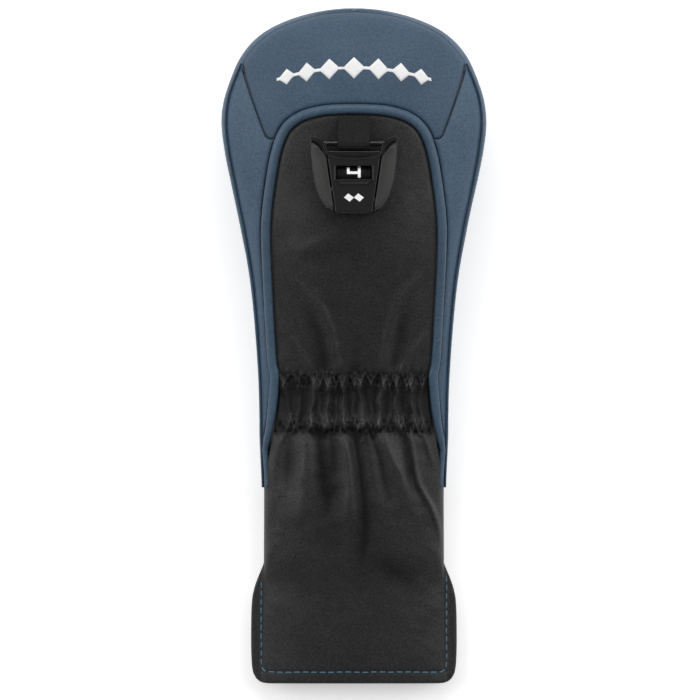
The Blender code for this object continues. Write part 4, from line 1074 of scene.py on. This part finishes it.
# cross bar with collars
xb = np.array([-14.6, -14.3, -13.2, -13.0, -12.6, -12.4, -9, -5, 0, 5, 9, 12.4, 12.6, 13.0, 13.2, 14.3, 14.6])
rb = np.array([1.2, 1.45, 1.45, 1.42, 1.28, 1.22, 1.2, 1.2, 1.2, 1.2, 1.2, 1.22, 1.28, 1.42, 1.45, 1.45, 1.2])
ang = np.linspace(0, 2 * np.pi, 32, endpoint=False)
P = np.stack([np.broadcast_to(xb[:, None], (17, 32)), BAR_Y + rb[:, None] * np.cos(ang), BAR_Z + rb[:, None] * np.sin(ang)], -1)
bar_obj = grid("cross_bar_turned", P, closed=True)
work = bmesh.new()
work.from_mesh(bar_obj.data)
bmesh.ops.holes_fill(work, edges=[e for e in work.edges if e.is_boundary], sides=0)
bmesh.ops.recalc_face_normals(work, faces=work.faces)
work.to_mesh(bar_obj.data)
work.free()
ride_tag(bar_obj, M_GLOSS)
# web of the shell behind the bar, between the horns
ride_tag(solid("slot_ledge", [(-12.9, 88.4), (12.9, 88.4), (12.7, 92.0), (-12.7, 92.0)], 52.2, 54.9, 0.5), M_GLOSS)

# satin wings
OUT_W = [(63.6, 10.4), (65.3, 13.0), (71.8, 16.85), (80.0, 18.85), (89.0, 19.85), (94.0, 20.2), (95.9, 20.15)]
IN_W = [(63.6, 9.7), (65.5, 9.75), (88.6, 13.05), (90.2, 13.9), (92.0, 15.3), (94.2, 17.0), (95.4, 18.7), (95.9, 19.9)]
wy = np.concatenate([np.linspace(63.6, 66, 30)[:-1], np.linspace(66, 92, 120)[:-1], np.linspace(92, 95.9, 40)])
xo, xi = curve(OUT_W)(wy), np.interp(wy, *zip(*IN_W))
xo = np.maximum(xo, xi + 0.25)
u = np.linspace(0, 1, 46)
for side, sign in (("right", 1), ("left", -1)):
    X = xi[:, None] + (xo - xi)[:, None] * u
    Y = np.broadcast_to(wy[:, None], X.shape)
    from_in, from_out = X - xi[:, None], xo[:, None] - X
    Z = 58.25 - 1.9 * u[None, :] ** 1.7 - 0.5 * np.clip(1 - from_in / 0.7, 0, 1) ** 1.6 - 0.9 * np.clip(1 - from_out / 0.8, 0, 1) ** 2
    Z = Z - 1.2 * np.clip((Y - 93.2) / 2.7, 0, 1) ** 2 - 1.4 * np.clip((66.5 - Y) / 3.0, 0, 1) ** 2
    P = np.dstack([X * sign, Y, Z])
    P = np.pad(P, ((1, 1), (1, 1), (0, 0)), mode="edge")
    P[0, :, 2] = P[-1, :, 2] = P[:, 0, 2] = P[:, -1, 2] = 55.2
    ride_tag(grid("wing_satin_" + side, P, up=sign > 0), M_WING, "wing_cap_" + side)

# small plain mark on the face: two slanted lozenges
for k, (cx, cy, w, h) in enumerate([(-2.35, 70.0, 2.35, 1.95), (2.35, 70.0, 2.35, 1.95)]):
    mark = [(cx - w, cy), (cx - 0.35, cy + h), (cx + w, cy), (cx + 0.35, cy - h)]
    ride_tag(solid(f"face_mark_{k + 1}", mark, 57.6, 58.35, 0.05, 2), M_PRINT)

# number drum
DRUM_Y, DRUM_Z, DRUM_R = 80.9, 53.5, 3.95
xd = np.array([-8.05, -8.0, -7.8, -7.0, -6.9, -6.6, -6.5, -3, 0, 3, 6.5, 6.6, 6.9, 7.0, 7.8, 8.0, 8.05])
rd = np.array([1.2, 3.6, 3.95, 4.0, 3.8, 3.8, 3.96, 3.96, 3.96, 3.96, 3.96, 3.8, 3.8, 4.0, 3.95, 3.6, 1.2])
ang = np.linspace(0, 2 * np.pi, 96, endpoint=False)
P = np.stack([np.broadcast_to(xd[:, None], (17, 96)), DRUM_Y + rd[:, None] * np.cos(ang), DRUM_Z + rd[:, None] * np.sin(ang)], -1)
ride_tag(grid("drum_turned", P, closed=True), M_DRUM, "number_drum", body="drum")
STROKES = {
    "4": [(-3.3, -2.05, 1.45, 3.8), (-3.3, 1.85, 0.2, 1.45), (1.85, 3.2, -1.6, 3.8)],
    "3": [(1.75, 3.0, -1.6, 3.8), (-3.0, 1.75, 2.55, 3.8), (-2.2, 1.75, 0.5, 1.7), (-3.0, 1.75, -1.6, -0.4)],
    "5": [(-3.0, 3.0, 2.55, 3.8), (-3.0, -1.75, 1.7, 2.55), (-3.0, 3.0, 0.5, 1.7), (1.75, 3.0, -0.4, 0.5), (-3.0, 3.0, -1.6, -0.4)],
    "7": [(-3.0, 3.0, 2.55, 3.8), (1.75, 3.0, -1.6, 2.55)],
}
for turn, (digit, strokes) in enumerate(STROKES.items()):
    verts, faces = [], []
    for x0, x1, v0, v1 in strokes:
        n = 14
        base = len(verts)
        for j in range(n + 1):
            a = math.pi / 2 - (v0 + (v1 - v0) * j / n) / 4.15 + turn * math.pi / 2
            for x, r in ((x0, 3.9), (x0, 4.14), (x1, 4.14), (x1, 3.9)):
                verts.append((x, DRUM_Y + r * math.cos(a), DRUM_Z + r * math.sin(a)))
        for j in range(n):
            for m in range(3):
                a = base + j * 4 + m
                faces.append((a, a + 1, a + 5, a + 4))
        faces.append((base, base + 1, base + 2, base + 3))
        faces.append((base + 4 * n + 3, base + 4 * n + 2, base + 4 * n + 1, base + 4 * n))
    mesh = bpy.data.meshes.new("numeral_" + digit)
    mesh.from_pydata((np.array(verts) * MM).tolist(), [], faces)
    obj = put(bpy.data.objects.new("numeral_" + digit, mesh))
    ride_tag(obj, M_PRINT, body="drum")

for node, mat in (("tag_back_cover", M_GLOSS),):
    for slot_ in NODES[node].material_slots:
        slot_.material = mat

# ------------------------------------------------------------------ floor
floor_mat = Nodes("floor", (0.90, 0.90, 0.90), 0.9, specular=0.1)
floor_mat.tint(floor_mat.noise(0.01, 2), 0.995, 1.0)
floor_mat.shader.inputs["Emission Color"].default_value = (1, 1, 1, 1)
floor_mat.shader.inputs["Emission Strength"].default_value = 0.42
floor = grid("floor", np.array([[[-3000, -3000, -0.4], [3000, -3000, -0.4]], [[-3000, 3000, -0.4], [3000, 3000, -0.4]]], float))
floor.data.materials.append(floor_mat.mat)

# ------------------------------------------------------------------ lights
world = bpy.data.worlds.new("world")
bpy.context.scene.world = world
world.use_nodes = True
world.node_tree.nodes["Background"].inputs[0].default_value = (1, 1, 1, 1)
world.node_tree.nodes["Background"].inputs[1].default_value = 0.20


def lamp(name, where, size, power, aim=(0, 0, 0.02)):
    data = bpy.data.lights.new(name, "AREA")
    data.shape = "RECTANGLE"
    data.size, data.size_y = size
    data.energy = power
    obj = put(bpy.data.objects.new(name, data))
    obj.location = where
    obj.rotation_euler = (Vector(aim) - Vector(where)).to_track_quat("-Z", "Y").to_euler()
    return obj


lamp("left_bank", (-1.25, 0.30, 0.95), (1.0, 1.4), 12.0)
lamp("right_bank", (1.25, 0.35, 0.95), (1.0, 1.4), 11.5)
lamp("top_bank", (0.0, 1.35, 1.15), (1.8, 0.8), 17)
